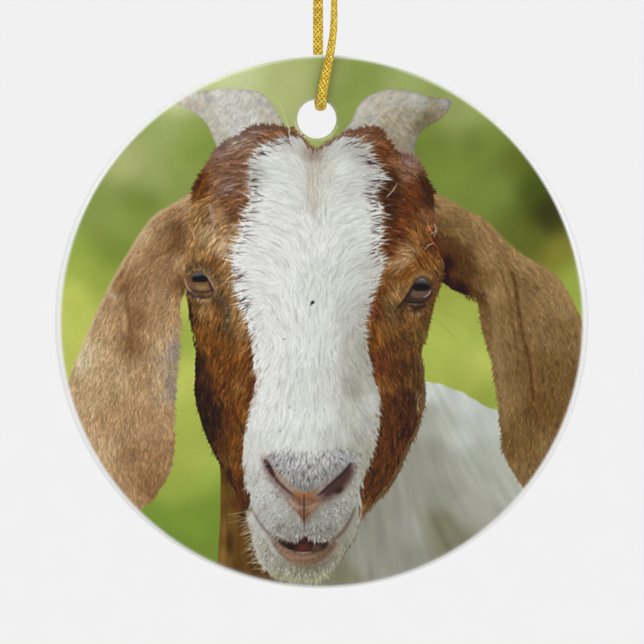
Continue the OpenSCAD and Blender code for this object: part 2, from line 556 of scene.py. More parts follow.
def comb(grids, angle, reach):
    """The grids drawn out along the lie of the hair, over that many millimetres each way."""
    u = np.cos(angle).ravel().astype(np.float32)
    v = np.sin(angle).ravel().astype(np.float32)
    values = [grid.ravel().astype(np.float32) for grid in grids]
    totals = [value.copy() for value in values]
    steps = int(reach / CELL)
    row, col = np.divmod(np.arange(SIDE * SIDE), SIDE)
    for way in (1, -1):
        x, z = col.astype(np.float32), row.astype(np.float32)
        du, dv = way * u, way * v
        for k in range(steps):
            x += du
            z += dv
            at = np.clip((z + 0.5).astype(np.int32), 0, SIDE - 1) * SIDE
            at += np.clip((x + 0.5).astype(np.int32), 0, SIDE - 1)
            near = np.float32(1 - (k + 1) / (steps + 1))
            for total, value in zip(totals, values):
                total += near * value[at]
            nu, nv = u[at], v[at]
            turn = np.sign(nu * du + nv * dv)
            du, dv = nu * turn, nv * turn
    combed = [total.reshape(SIDE, SIDE).astype(float) for total in totals]
    return [grid / grid.std() for grid in combed]


def step(value, low, high):
    """0 below low, 1 above high, and a smooth rise between them."""
    t = np.clip((value - low) / (high - low), 0, 1)
    return t * t * (3 - 2 * t)


def ragged(soft, jag, low, high):
    """A soft cover made ragged along its edge only."""
    return step(soft + jag * 4 * np.clip(soft * (1 - soft), 0, 1), low, high)


def lay(colour, cover):
    """Paints a colour or a colour field over the print, as far as cover says."""
    PRINT[...] += (np.asarray(colour, float) - PRINT) * np.clip(cover, 0, 1)[..., None]


def area(points, soft):
    """1 inside the outline and 0 outside it, softened by that many millimetres."""
    return blur(fill(points), soft)


def patch(points, colour, soft, most=1.0):
    """Paints a soft-edged area."""
    lay(colour, most * area(points, soft))


def band(points, width, soft=0.08):
    """How far each cell is covered by a line along a smooth open curve.

    width is one width, or widths at even places from the line's start to its end.
    """
    line = curve(points, closed=False)
    places = np.linspace(0, 1, np.size(width))
    width = np.interp(np.linspace(0, 1, len(line)), places, np.atleast_1d(width))
    cover = np.zeros((SIDE, SIDE))
    margin = width.max() + 4 * soft
    rows = np.flatnonzero((AXIS > line[:, 1].min() - margin) & (AXIS < line[:, 1].max() + margin))
    cols = np.flatnonzero((AXIS > line[:, 0].min() - margin) & (AXIS < line[:, 0].max() + margin))
    if not rows.size or not cols.size:
        return cover
    window = np.ix_(rows, cols)
    x, z = ACROSS[window], UP[window]
    best = np.full(x.shape, -1e9)
    for (ax, az), (bx, bz), w in zip(line[:-1], line[1:], width):
        dx, dz = bx - ax, bz - az
        t = np.clip(((x - ax) * dx + (z - az) * dz) / (dx * dx + dz * dz + TINY), 0, 1)
        best = np.maximum(best, w / 2 - np.hypot(x - ax - t * dx, z - az - t * dz))
    cover[window] = step(best, -soft, soft)
    return cover


def stroke(points, width, colour, most=1.0, soft=0.08):
    """Paints a soft-edged line."""
    lay(colour, most * band(points, width, soft))


def hairs(roots, aims, lengths, colours, strength, width, seed):
    """Single hairs that start at the roots, lean to the aims (angles) and taper to their tips."""
    rng = np.random.default_rng(seed)
    count = len(roots)
    aims = np.asarray(aims, float)
    bend = rng.normal(0, HAIR_CURL, count) / HAIR_STEPS
    x, z = roots[:, 0].copy(), roots[:, 1].copy()
    pace = np.asarray(lengths) / HAIR_STEPS
    cells, parts = [], []
    for k in range(HAIR_STEPS):
        fade = 0.75 * strength * (1 - (k / HAIR_STEPS) ** 2) * pace / CELL
        for side in (-0.25, 0.25):
            col = (x - side * width * np.sin(aims) + HALF) / CELL - 0.5
            row = (z + side * width * np.cos(aims) + HALF) / CELL - 0.5
            c0, r0 = np.floor(col).astype(int), np.floor(row).astype(int)
            fc, fr = col - c0, row - r0
            for dc, dr in ((0, 0), (1, 0), (0, 1), (1, 1)):
                share = (fc if dc else 1 - fc) * (fr if dr else 1 - fr)
                cells.append(np.clip(r0 + dr, 0, SIDE - 1) * SIDE + np.clip(c0 + dc, 0, SIDE - 1))
                parts.append(fade * share)
        x += pace * np.cos(aims)
        z += pace * np.sin(aims)
        aims = aims + bend
    cells, parts = np.concatenate(cells), np.concatenate(parts)
    cover = np.bincount(cells, parts, SIDE * SIDE)
    # each step of a hair has two sides, and each side falls on four cells
    shades = [np.tile(colours[:, k], HAIR_STEPS * 8) for k in range(3)]
    tint = [np.bincount(cells, parts * shade, SIDE * SIDE) / np.maximum(cover, 1e-6) for shade in shades]
    lay(np.stack(tint, -1).reshape(SIDE, SIDE, 3), np.minimum(cover, 1).reshape(SIDE, SIDE))


def look_up(field, points):
    """The field's values at the points."""
    col = np.clip(((points[:, 0] + HALF) / CELL).astype(int), 0, SIDE - 1)
    row = np.clip(((points[:, 1] + HALF) / CELL).astype(int), 0, SIDE - 1)
    return field[row, col]


def along(points, count, rng):
    """Spots at random along a smooth line, with the line's left-hand normals."""
    line = curve(points, closed=False)
    span = np.diff(line, axis=0)
    size = np.hypot(span[:, 0], span[:, 1])
    reach = np.concatenate([[0], np.cumsum(size)])
    at = np.sort(rng.random(count)) * reach[-1]
    k = np.clip(np.searchsorted(reach, at) - 1, 0, len(span) - 1)
    share = (at - reach[k]) / np.maximum(size[k], TINY)
    spots = line[k] + share[:, None] * span[k]
    normal = np.stack([-span[k][:, 1], span[k][:, 0]], -1) / np.maximum(size[k], TINY)[:, None]
    return spots, normal


def fringe(
    points, count, side, depth, length, colour, angle, seed, lean=0.25, strength=0.9, width=0.12, vary=0.12,
    normal_share=0.0,
):
    """Hairs across an edge, rooted at depth inside it and pointing out of it on one side.

    side is 1 for the left of the line and -1 for its right. normal_share is how far the hairs turn
    from their own lie to straight out of the edge.
    """
    rng = np.random.default_rng(seed)
    spots, normal = along(points, count, rng)
    out = side * normal
    roots = spots - out * (rng.random(count) * (depth[1] - depth[0]) + depth[0])[:, None]
    a = look_up(angle, spots)
    way = np.stack([np.cos(a), np.sin(a)], -1)
    way *= np.where((way * out).sum(1) < 0, -1, 1)[:, None]
    way = way * (1 - normal_share) + out * normal_share
    aims = np.arctan2(way[:, 1], way[:, 0]) + rng.normal(0, lean, count)
    lengths = length[0] + rng.random(count) * (length[1] - length[0])
    tint = np.asarray(colour, float)
    if tint.ndim > 1:
        tint = look_up(tint, roots)
    tint = tint * np.exp(rng.normal(0, vary, (count, 1)))
    hairs(roots, aims, lengths, np.clip(tint, 0, 245), strength, width, seed)


def scatter(cover, count, seed):
    """Spots at random where cover is high."""
    rng = np.random.default_rng(seed)
    chance = np.where(cover > 0.4, cover, 0).ravel()
    reach = np.cumsum(chance)
    at = np.searchsorted(reach, rng.random(count) * reach[-1])
    row, col = np.divmod(at, SIDE)
    jitter = rng.random((count, 2))
    return np.stack([(col + jitter[:, 0]) * CELL - HALF, (row + jitter[:, 1]) * CELL - HALF], -1)


def coat(cover, angle, field, count, length, vary, seed, strength, width):
    """Single hairs all over an area, each in the colour of the fur round it, a little lighter or darker."""
    rng = np.random.default_rng(seed)
    roots = scatter(cover, count, seed)
    aims = look_up(angle, roots) + rng.normal(0, COAT_LEAN, count)
    aims += np.where(rng.random(count) < 0.5, 0, math.pi)
    lengths = length[0] + rng.random(count) * (length[1] - length[0])
    tint = look_up(field, roots) * np.exp(rng.normal(0, vary, (count, 1)))
    hairs(roots, aims, lengths, np.clip(tint, 5, 240), strength, width, seed)


# Colours of the print, in steps of 0 to 255
PALE_LEAF, LEAF, SAGE, GRASS = (194, 201, 150), (172, 181, 118), (152, 163, 98), (133, 148, 75)
SHADY_GRASS, MOSS, DARK_MOSS = (116, 133, 58), (100, 111, 43), (76, 86, 33)
OLIVE, LIME, BRIGHT_LIME = (130, 127, 50), (164, 177, 80), (181, 189, 92)
LOW_GRASS, DEEP_GRASS = (148, 163, 70), (113, 138, 53)
WOOL_LIGHT, WOOL_PALE, WOOL = (197, 202, 196), (188, 193, 184), (172, 174, 162)
WOOL_DULL, WOOL_SHADE, WOOL_FOLD = (157, 158, 145), (143, 143, 130), (124, 121, 98)
NECK_SUN, NECK, NECK_SHADE = (127, 96, 48), (118, 86, 39), (90, 62, 28)
EAR_PALE, EAR_SAND, EAR_TAN, EAR_MID = (194, 174, 140), (174, 146, 109), (161, 130, 94), (145, 113, 79)
EAR_BROWN, EAR_DUSK, EAR_GREY = (128, 96, 63), (110, 80, 50), (140, 126, 112)
FAR_EAR_LIGHT, FAR_EAR, FAR_EAR_MID = (146, 117, 76), (127, 100, 63), (114, 86, 50)
FAR_EAR_DARK, FAR_EAR_BLACK = (85, 55, 31), (38, 21, 9)
IVORY, BONE, HORN_GREY = (199, 197, 189), (185, 180, 166), (176, 171, 158)
HORN_SHADE, HORN_DARK = (153, 145, 124), (116, 109, 86)
PLUM, MAUVE, UMBER, RUSSET = (129, 101, 92), (154, 132, 120), (121, 86, 66), (112, 74, 50)
MAROON, CHESTNUT, COCOA, PITCH = (92, 50, 26), (76, 44, 21), (62, 36, 17), (42, 27, 8)
BUFF, FAWN, HONEY, CARAMEL = (177, 146, 112), (155, 119, 85), (141, 105, 67), (121, 80, 42)
GINGER, RUST, BARK = (107, 65, 28), (97, 56, 22), (86, 60, 34)
SNOW, MILK, CREAM, PEARL = (218, 219, 215), (208, 210, 204), (196, 190, 178), (186, 187, 181)
ASH, STONE, PEBBLE = (174, 174, 166), (157, 157, 144), (142, 140, 128)
GREY_FUZZ, INK, PLUM_BLACK, MOUTH = (110, 104, 98), (30, 22, 20), (50, 32, 38), (52, 34, 28)


def paint_meadow():
    """The blurred green behind the animal."""
    field = spread([
        (-20, 31, PALE_LEAF), (-12, 34.3, PALE_LEAF), (-4, 34.5, LEAF), (-4, 31, LEAF), (-22, 26.5, SAGE),
        (-27, 22, LEAF), (-24, 20, SAGE), (-18, 26, GRASS), (-17, 24, SHADY_GRASS), (-19, 20, GRASS),
        (-30, 15, GRASS), (-25, 17, SHADY_GRASS), (-33, 8, LOW_GRASS), (-29, 9.5, SHADY_GRASS),
        (-34.5, 3, BRIGHT_LIME), (-30, 6, LOW_GRASS), (-34, -2, BRIGHT_LIME), (-19, -2, LOW_GRASS),
        (-19, 3, BRIGHT_LIME), (-19, -8, BRIGHT_LIME), (-18, -14, LIME), (-19, -18, LIME),
        (-20, -23, LOW_GRASS), (-22, -27.5, DEEP_GRASS), (-17, -27, DEEP_GRASS), (-17, -33, DEEP_GRASS),
        (5, 34.5, GRASS), (1, 35, SAGE), (4, 31, GRASS), (11, 34, SAGE), (20, 29, SAGE),
        (15, 24, SHADY_GRASS), (22, 25, SHADY_GRASS), (18, 21, SHADY_GRASS), (27, 22, MOSS),
        (25, 18, SHADY_GRASS), (29, 18, DARK_MOSS), (31.5, 14.5, (52, 52, 22)), (29, 12.5, (94, 102, 40)),
        (33, 10, OLIVE), (35, 5, LOW_GRASS), (18, 1, LIME), (20, -2, LIME), (16, -6, LIME),
        (21, -6, BRIGHT_LIME), (25, -11, LOW_GRASS), (18, -7.5, LIME),
    ], 1.5)
    for channel in range(3):
        field[..., channel] = blur(field[..., channel], 0.7)
    cloud = 3.0 * noise(3, 2.2) + 2.0 * noise(4, 1.0)
    even = (1 - 0.0007 * ACROSS)[..., None]
    lay(field * even + cloud[..., None] * (0.8, 1.0, 0.6), np.ones((SIDE, SIDE)))


BODY = [
    (4.5, -27.5), (8, -22), (11, -15), (13.4, -9), (14.3, -8.3), (17, -8.8), (19, -9.6), (21, -10.6),
    (23, -11.8), (24.7, -12.4), (27, -14), (33, -18), (36, -28), (20, -40), (-4, -40), (-4, -33),
]
NECK_AREA = [
    (-14, -19), (-14.1, -22), (-14.2, -28), (-14.6, -34), (-15, -40), (-3, -40), (-4, -30), (-9, -22),
    (-12, -18),
]


def paint_flank():
    """The white flank, a little out of focus."""
    wool = spread([
        (14.5, -9.5, WOOL_LIGHT), (20, -11.5, WOOL_LIGHT), (24, -14, WOOL_PALE), (17, -14, WOOL),
        (20, -16, WOOL_PALE), (14.5, -13, WOOL_DULL), (14.5, -18, WOOL_SHADE), (18, -20, WOOL_DULL),
        (22, -18, WOOL), (26, -19, WOOL), (25, -23, WOOL), (12, -23, WOOL_SHADE), (9, -26, WOOL_SHADE),
        (8, -30, WOOL_SHADE), (12, -29, WOOL_DULL), (17, -24, WOOL_SHADE), (17, -28, WOOL_FOLD),
        (18.5, -31, WOOL_FOLD), (20, -26, WOOL_DULL), (23, -27, WOOL_DULL), (6, -33, WOOL_SHADE),
        (3, -35.5, WOOL_FOLD), (12, -34, WOOL_SHADE),
    ], 1.2)
    lie = flow([
        (15, -10, -65), (22, -14, -60), (15, -20, -75), (22, -24, -60), (10, -28, -80), (17, -30, -62),
        (5, -34, -85),
    ])
    (streaks,) = comb([noise(11, 0.28)], lie, 4.5)
    soft = area(BODY, 0.28)
    edge = ragged(soft, 0.1 * streaks, 0.3, 0.75)
    lay(wool * (1 + 0.03 * blur(streaks, 0.15))[..., None], edge)


def paint_neck():
    """The brown neck under the chin, a little out of focus."""
    fur = spread([
        (-13.6, -21, NECK_SHADE), (-13.4, -24, NECK), (-13.8, -28, NECK_SUN), (-12.5, -27, NECK),
        (-13.8, -33, NECK_SUN), (-11.8, -31, NECK_SHADE), (-10.6, -29, NECK_SHADE), (-11, -34, NECK_SHADE),
        (-8.5, -35.5, NECK_SHADE), (-11.4, -25.5, RUST), (-10.3, -27, PITCH),
    ], 0.6)
    lie = flow([(-13, -20, -82), (-13, -30, -90), (-9, -34, -75)])
    (streaks,) = comb([noise(12, 0.2)], lie, 4.0)
    soft = area(NECK_AREA, 0.25)
    lay(fur * (1 + 0.09 * streaks)[..., None], ragged(soft, 0.08 * streaks, 0.3, 0.75))


LEFT_EAR = [
    (-15, 17.5), (-17.7, 18.1), (-20, 16.7), (-23, 15), (-24, 13.9), (-25, 12.5), (-26, 11), (-27, 9.3),
    (-28, 7.6), (-29.5, 4.8), (-31, 1.8), (-33, -3), (-34.2, -5.5), (-35.4, -9), (-37, -14), (-36, -24),
    (-29, -30), (-25.6, -26.4), (-24, -25), (-22.9, -23.5), (-21.9, -22), (-21.3, -21), (-20.5, -18),
    (-20.8, -13), (-20.6, -8), (-20.1, -3), (-19.7, 2), (-19.2, 3.6), (-18.6, 5), (-16, 6),
]
RIGHT_EAR = [
    (13, 18), (15.3, 18.3), (17, 17.1), (20, 15.5), (22.5, 14.3), (24, 12.8), (25.5, 11), (28.5, 8.8),
    (32.4, 6.5), (35, 2.5), (36.6, -1.5), (38, -8), (36, -18), (29.5, -24.5), (28, -23), (26.6, -21),
    (25.8, -19.5), (25.2, -18), (24.8, -14), (24.3, -9), (23.5, -5), (22.7, -2.4), (21.9, 1.3), (21.9, 2.9),
    (20.8, 3.5), (18.9, 4.1), (17.4, 5), (14, 8),
]


def paint_left_ear():
    """The ear on the left, which catches more light, with its fold and its fringed edge."""
    near = spread([
        (-18.5, 16.6, EAR_TAN), (-20.5, 15, EAR_MID), (-22.8, 14.2, EAR_TAN), (-24.3, 12.2, EAR_SAND),
        (-22.5, 12.3, EAR_MID), (-20.3, 12.8, EAR_DUSK), (-19.7, 10.5, EAR_DUSK), (-21, 10.3, EAR_BROWN),
        (-22.5, 9, EAR_MID), (-24.2, 8, EAR_MID), (-26.2, 9.2, EAR_TAN), (-19.6, 8, EAR_TAN),
        (-21, 6.5, EAR_MID), (-19.6, 5.4, EAR_DUSK), (-27.3, 5, EAR_BROWN), (-29.3, 3.6, EAR_TAN),
        (-25, 4, EAR_MID), (-22.5, 2.5, EAR_TAN), (-20.6, 1.5, EAR_TAN), (-30.8, -0.8, EAR_SAND),
        (-28, 0, EAR_TAN), (-26, -3, EAR_BROWN), (-25.8, 0.5, EAR_BROWN), (-24, -2, EAR_TAN),
        (-22, -3.5, EAR_SAND), (-21, -4, EAR_GREY), (-33, -5, EAR_PALE), (-30, -6, EAR_SAND),
        (-28, -8, EAR_SAND), (-25.2, -8, EAR_TAN), (-22.3, -9, EAR_SAND), (-21, -9, EAR_GREY),
        (-34.5, -10, EAR_SAND), (-32, -11.5, EAR_SAND), (-27, -13, EAR_TAN), (-29.5, -14, EAR_TAN),
        (-22.2, -14, EAR_TAN), (-24.5, -14.5, EAR_TAN), (-33, -16, EAR_SAND), (-30.5, -18, EAR_SAND),
        (-26, -18.5, EAR_MID), (-22, -19, EAR_MID), (-29, -22, EAR_TAN), (-24, -23, EAR_BROWN),
        (-26.5, -25, EAR_TAN),
    ], 0.6)
    lie = flow([
        (-17, 17, 205), (-21, 14, 225), (-20, 10, 240), (-24, 9, 235), (-27, 5, 240), (-22, 3, 255),
        (-30, -2, 245), (-25, -3, 262), (-21, -4, 280), (-33, -10, 255), (-27, -12, 264), (-22, -12, 272),
        (-32, -20, 265), (-25, -22, 270), (-22, -20, 262),
    ])
    fine, wide = comb([noise(21, 0.05), noise(22, 0.18)], lie, 0.8)
    (locks,) = comb([noise(120, 0.24)], lie, 3.5)
    soft = area(LEFT_EAR, 0.18)
    cover = ragged(soft, 0.08 * wide, 0.3, 0.7)
    field = near * 1.055 * (1 + 0.075 * fine + 0.04 * wide + 0.045 * locks)[..., None]
    lay(field, cover)
    coat(cover * (ACROSS < -18), lie, near, 12000, (0.4, 1.1), 0.17, 23, strength=0.42, width=0.05)
    for line, width, most in (
        ([(-27.3, 5), (-27, 3), (-26.7, 0), (-26.4, -3), (-26.8, -7)], (0.2, 0.4, 0.45, 0.4, 0.15), 0.4),
        ([(-28, 0.5), (-27.8, -2)], (0.3, 0.2), 0.2),
        ([(-19.8, 13.6), (-20.2, 11.6), (-21.4, 9.8), (-23.3, 9)], (0.3, 0.7, 0.5, 0.2), 0.4),
        ([(-22.6, 8), (-23, 6.4)], (0.4, 0.2), 0.25),
        ([(-19.9, 6.5), (-19.2, 4.8), (-19.0, 4.0)], (0.2, 0.5, 0.6), 0.5),
    ):
        stroke(line, width, FAR_EAR_DARK, most, 0.35)
    light = [(-17.5, 17.8), (-20, 16.4), (-23, 14.7), (-25, 12.2), (-28, 7.4), (-31, 1.6), (-34, -5.3)]
    stroke(light, 0.5, (206, 182, 140), 0.6, 0.25)
    stroke([
        (-23.6, 13.6), (-25.4, 10.6), (-26.8, 7.6), (-27.6, 5.4),
    ], (0.3, 0.5, 0.4, 0.2), (186, 158, 122), 0.45, 0.25)
    stroke([(-29.4, 3.9), (-28.8, 3.4)], 0.6, (188, 168, 150), 0.6, 0.22)
    fringe([
        (-20.9, -14), (-20.6, -8), (-20.2, -3), (-19.8, 1.5),
    ], 420, -1, (-0.1, 0.4), (0.5, 1.3), near, lie + 0.35, 24, normal_share=0.35, strength=0.6)
    fringe([
        (-24, -25), (-22.9, -23.5), (-21.9, -22), (-21.2, -20.5), (-20.5, -17), (-20.8, -13),
    ], 240, -1, (-0.05, 0.3), (0.3, 0.8), near, lie, 25, normal_share=0.3, strength=0.6)


def paint_right_ear():
    """The ear on the right, darker, with the long creases of its folds."""
    far = spread([
        (17, 16.5, FAR_EAR_LIGHT), (19, 15, FAR_EAR), (22, 13.6, FAR_EAR_LIGHT),
        (24.5, 11.6, FAR_EAR_LIGHT), (20, 12, FAR_EAR), (17.6, 13, FAR_EAR_MID), (17.4, 10.5, FAR_EAR_DARK),
        (17.6, 8, FAR_EAR_BLACK), (17.3, 6, FAR_EAR_BLACK), (18.6, 6.5, FAR_EAR_DARK),
        (19.3, 9, FAR_EAR_DARK), (20.2, 6.2, FAR_EAR_DARK), (19.3, 4.6, FAR_EAR_BLACK),
        (23, 9, FAR_EAR_LIGHT), (27, 8.8, FAR_EAR_LIGHT), (30, 7, FAR_EAR_LIGHT), (22, 5, FAR_EAR_MID),
        (21.6, 3.4, FAR_EAR_DARK), (24, 4, FAR_EAR_LIGHT), (28, 5, FAR_EAR), (32.5, 3, FAR_EAR_LIGHT),
        (26, 0, FAR_EAR), (23, 1, FAR_EAR_MID), (30, -2, FAR_EAR), (34.5, -2, FAR_EAR), (25, -5, FAR_EAR),
        (29, -6, FAR_EAR_MID), (33, -7, FAR_EAR_MID), (26, -11, FAR_EAR), (30, -12, (103, 74, 41)),
        (33.5, -12, FAR_EAR_MID), (26, -17, FAR_EAR_MID), (29, -17.5, FAR_EAR_MID), (31, -18, FAR_EAR),
        (28, -21.5, FAR_EAR),
    ], 0.6)
    lie = flow([
        (16, 17, -25), (20, 13, -45), (18, 9, -65), (24, 10, -50), (29, 7, -50), (33, 2, -65), (25, 2, -68),
        (30, -5, -75), (25, -8, -82), (33, -12, -85), (27, -16, -88), (29, -21, -100),
    ])
    fine, wide = comb([noise(26, 0.05), noise(27, 0.2)], lie, 0.8)
    (locks,) = comb([noise(121, 0.26)], lie, 4.0)
    soft = area(RIGHT_EAR, 0.2)
    cover = ragged(soft, 0.08 * wide, 0.3, 0.7)
    lay(far * 0.945 * (1 + 0.075 * fine + 0.05 * wide + 0.06 * locks)[..., None], cover)
    coat(cover * (ACROSS > 16.5), lie, far, 9000, (0.4, 1.2), 0.17, 28, strength=0.42, width=0.05)
    light = [(16, 17.7), (20, 15.3), (23.5, 13), (28, 8.9), (32, 6.4), (35, 1.5), (36.5, -4)]
    stroke(light, 0.5, (164, 132, 90), 0.5, 0.3)
    for line, width, colour, most in (
        ([
            (22.4, 13.6), (25.2, 9.6), (26.8, 5.4), (27.6, -0.4), (28.8, -5.6), (29.4, -11),
        ], (0.3, 0.5, 0.6, 0.5, 0.5, 0.3), (80, 48, 26), 0.75),
        ([(25, 6.4), (26, 3.4), (26.8, -1.6), (27.4, -6)], (0.2, 0.4, 0.4, 0.2), (92, 58, 34), 0.5),
        ([(20.6, 14.9), (24.2, 11.2), (26.4, 7.2)], (0.3, 0.5, 0.3), (164, 134, 94), 0.6),
        ([
            (22.6, 5), (23.8, 2.4), (24.3, -3), (25, -8), (25.6, -15),
        ], (0.4, 0.9, 1.0, 0.9, 0.4), (150, 126, 90), 0.5),
        ([(28.4, 3.4), (30.4, -0.6), (31.8, -5)], (0.3, 0.5, 0.3), (142, 112, 74), 0.4),
        ([(32.4, 3.4), (34.2, 0.6)], (0.3, 0.6), (156, 132, 104), 0.4),
    ):
        stroke(line, width, colour, most, 0.28)
    coat(cover * (ACROSS > 20), lie, far, 2600, (0.5, 1.3), 0.17, 30, strength=0.22, width=0.05)
    fringe([
        (20, 3.6), (21.8, 2.6), (22.2, 0), (23, -3), (24, -7), (24.6, -12), (25.2, -18),
    ], 320, -1, (-0.05, 0.35), (0.3, 0.9), far, lie, 29, normal_share=0.4, strength=0.6)


LEFT_HORN = [
    (-21.5, 31), (-19.5, 32), (-18.5, 32), (-17, 31.9), (-14, 32.3), (-10, 32.2), (-8.5, 31.8), (-7.5, 31),
    (-6.7, 30), (-6.1, 29), (-5.3, 27.2), (-5.5, 25), (-10, 23), (-14.4, 23.4), (-14.6, 24.4), (-15, 25.3),
    (-15.5, 26.5), (-16, 27.5), (-17, 28.5), (-18.5, 29.5), (-19.8, 30.1),
]
RIGHT_HORN = [
    (2.7, 25.6), (4, 27.8), (4.6, 29), (5.2, 30.2), (6, 31), (7, 31.6), (8.5, 32.1), (10, 32.3), (13, 31.9),
    (14.5, 31.4), (16, 31.1), (17.3, 31), (18, 30.6), (17.9, 30), (17.5, 29.2), (16.8, 28.4), (15.8, 27.7),
    (14.8, 27.2), (14, 26.5), (13.4, 25.7), (12.9, 24), (12.7, 22.4), (9, 22), (5, 24),
]


def paint_horns():
    """The grey horns, speckled, ridged and darker along their edges."""
    left = spread([
        (-19.5, 31, (194, 184, 172)), (-18, 31.3, IVORY), (-18, 30.2, (190, 180, 166)), (-16.5, 30.5, BONE),
        (-16.6, 29.2, BONE), (-14, 31.4, IVORY), (-14, 30, IVORY), (-15.2, 28, BONE), (-13, 28.5, IVORY),
        (-11, 31, IVORY), (-10, 28.5, IVORY), (-9, 30.6, BONE), (-8, 29.5, BONE), (-6.8, 28, HORN_GREY),
        (-14.4, 26, BONE), (-12, 27, IVORY), (-14, 24.6, BONE),
    ], 0.6)
    right = spread([
        (3.6, 26.7, HORN_GREY), (5, 28.2, BONE), (6, 30, BONE), (8, 31.4, BONE), (7, 28.5, HORN_GREY),
        (9.5, 30.5, HORN_GREY), (10, 28.8, (171, 163, 144)), (12, 31, HORN_GREY), (12, 28.6, HORN_SHADE),
        (14, 30.6, (170, 167, 156)), (15.5, 30.4, HORN_SHADE), (17.2, 30.4, (164, 158, 150)),
        (16.8, 29.2, (136, 127, 108)), (15, 28.4, HORN_DARK), (13.6, 27, HORN_DARK),
        (11, 26.6, (158, 150, 130)), (12.6, 25.2, (134, 128, 110)), (9.4, 26.6, HORN_SHADE),
        (10.6, 24.8, (146, 136, 114)), (12, 23.6, (140, 130, 112)),
    ], 0.5)
    speck = 0.024 * noise(31, 0.12) + 0.012 * noise(32, 0.35)
    lie = flow([(-12, 28, 70), (-15, 31, 60), (12, 28, 55), (8, 31, 30), (12, 25, 100)])
    (ridges,) = comb([noise(33, 0.12)], lie, 0.6)
    for outline, field, seed, shade in ((LEFT_HORN, left, 34, 0.09), (RIGHT_HORN, right, 36, 0.15)):
        inside = fill(outline)
        cover = step(blur(inside, 0.14), 0.25, 0.75)
        round_off = 1 - shade * step(1 - blur(inside, 0.55), 0.2, 0.62)
        tinted = field * (round_off * (1 + speck + 0.026 * ridges))[..., None]
        tinted += np.stack([1.6 * noise(seed + 5, 0.3), 0 * speck, 2 * noise(seed + 6, 0.3)], -1)
        lay(tinted, cover)
    # rough hatching at the foot of the right horn
    for x, z in (
        (8.2, 27.6), (9.4, 28.2), (10.2, 27.2), (11.2, 27.9), (11, 25.8), (12, 26.6), (10.2, 25.4),
    ):
        stroke([
            (x - 0.5, z + 0.5), (x, z), (x + 0.2, z - 0.5),
        ], (0.1, 0.22, 0.1), (122, 108, 80), 0.32, 0.12)
        stroke([(x - 0.1, z + 0.6), (x + 0.5, z + 0.1)], 0.3, (205, 196, 168), 0.24, 0.14)


HEAD = [
    (-1, 23.9), (-2.2, 24.8), (-3, 25.8), (-4, 26.6), (-5, 27), (-7.5, 27.2), (-10, 27), (-11, 26.2),
    (-13, 25.2), (-14.4, 24), (-15.6, 22), (-16.7, 20.3), (-17.6, 18.5), (-17.9, 16.5), (-18.4, 14),
    (-18.8, 11), (-19, 8), (-18.9, 5.8), (-18.8, 4.4), (-18.5, 1.5), (-18.2, 0), (-17.8, -1), (-17.5, -4),
    (-17.6, -9), (-17.4, -11), (-16.9, -13.5), (-16.2, -15.5), (-14.8, -18.5), (-13.8, -20.3),
    (-12.6, -22.6), (-11.6, -24.8), (-10.8, -26.8), (-10, -27), (-9.6, -30), (-9.2, -31.5), (-8.6, -33),
    (-7.9, -34.3), (-7.3, -35.2), (-5, -36.2), (-2, -36.5), (0, -36), (1, -35.3), (3.35, -32.1),
    (4.96, -29.2), (5.3, -27.4), (6.5, -26), (8, -24.5), (9.5, -23), (10.6, -21), (11.5, -19), (12.4, -17),
    (13.7, -14), (14.4, -10), (13.9, -5), (14.4, -2), (15, 0), (15.3, 1.5), (16, 4), (16.5, 5.3), (17, 8),
    (16.4, 10), (16.2, 13), (15.6, 16), (15.4, 18.2), (14.9, 19), (13.8, 21.2), (12.7, 23), (11, 23.2),
    (10, 23.8), (9.5, 24.7), (8.6, 25.8), (8, 26.7), (7, 27.1), (5.5, 26.8), (3, 26.2), (1, 25), (0, 24.4),
]
BLAZE = [
    (-1.2, 23.6), (-2.2, 24.3), (-3.6, 25.3), (-5, 25.5), (-8, 24), (-9.5, 22.5), (-9.8, 20), (-9.5, 18),
    (-10, 15.5), (-10.6, 13.5), (-11.5, 11), (-12.1, 9.5), (-12, 8.5), (-11.8, 7), (-11.5, 5), (-11.2, 3.5),
    (-10.8, 2), (-10.1, 0), (-9.6, -2), (-9.2, -5), (-9, -9), (-9.8, -12), (-10.2, -14), (-10.6, -15),
    (-10.9, -19), (-10.7, -21), (-10.5, -23), (-10, -25), (-10, -27), (-9.6, -30), (-9.2, -31.5),
    (-8.6, -33), (-7.9, -34.3), (-7.3, -35.2), (-5, -36.2), (-2, -36.5), (0, -36), (1, -35.3),
    (3.35, -32.1), (4.96, -29.2), (5.1, -27), (5.5, -24), (5.5, -22.5), (6, -21), (6.7, -19), (7.3, -17),
    (7.7, -15), (8, -12), (7.9, -10), (6.9, -7), (6.5, -5), (6.2, -3), (6, 0), (6.8, 3), (7.5, 5), (8, 7),
    (8.4, 8), (7.5, 10), (7.6, 11), (8, 13.5), (7.5, 16), (7, 18), (8.2, 20), (8, 21), (6.5, 23), (6, 24.3),
    (4.5, 25.4), (2.5, 25.6), (0.6, 24.6), (-0.4, 23.7),
]
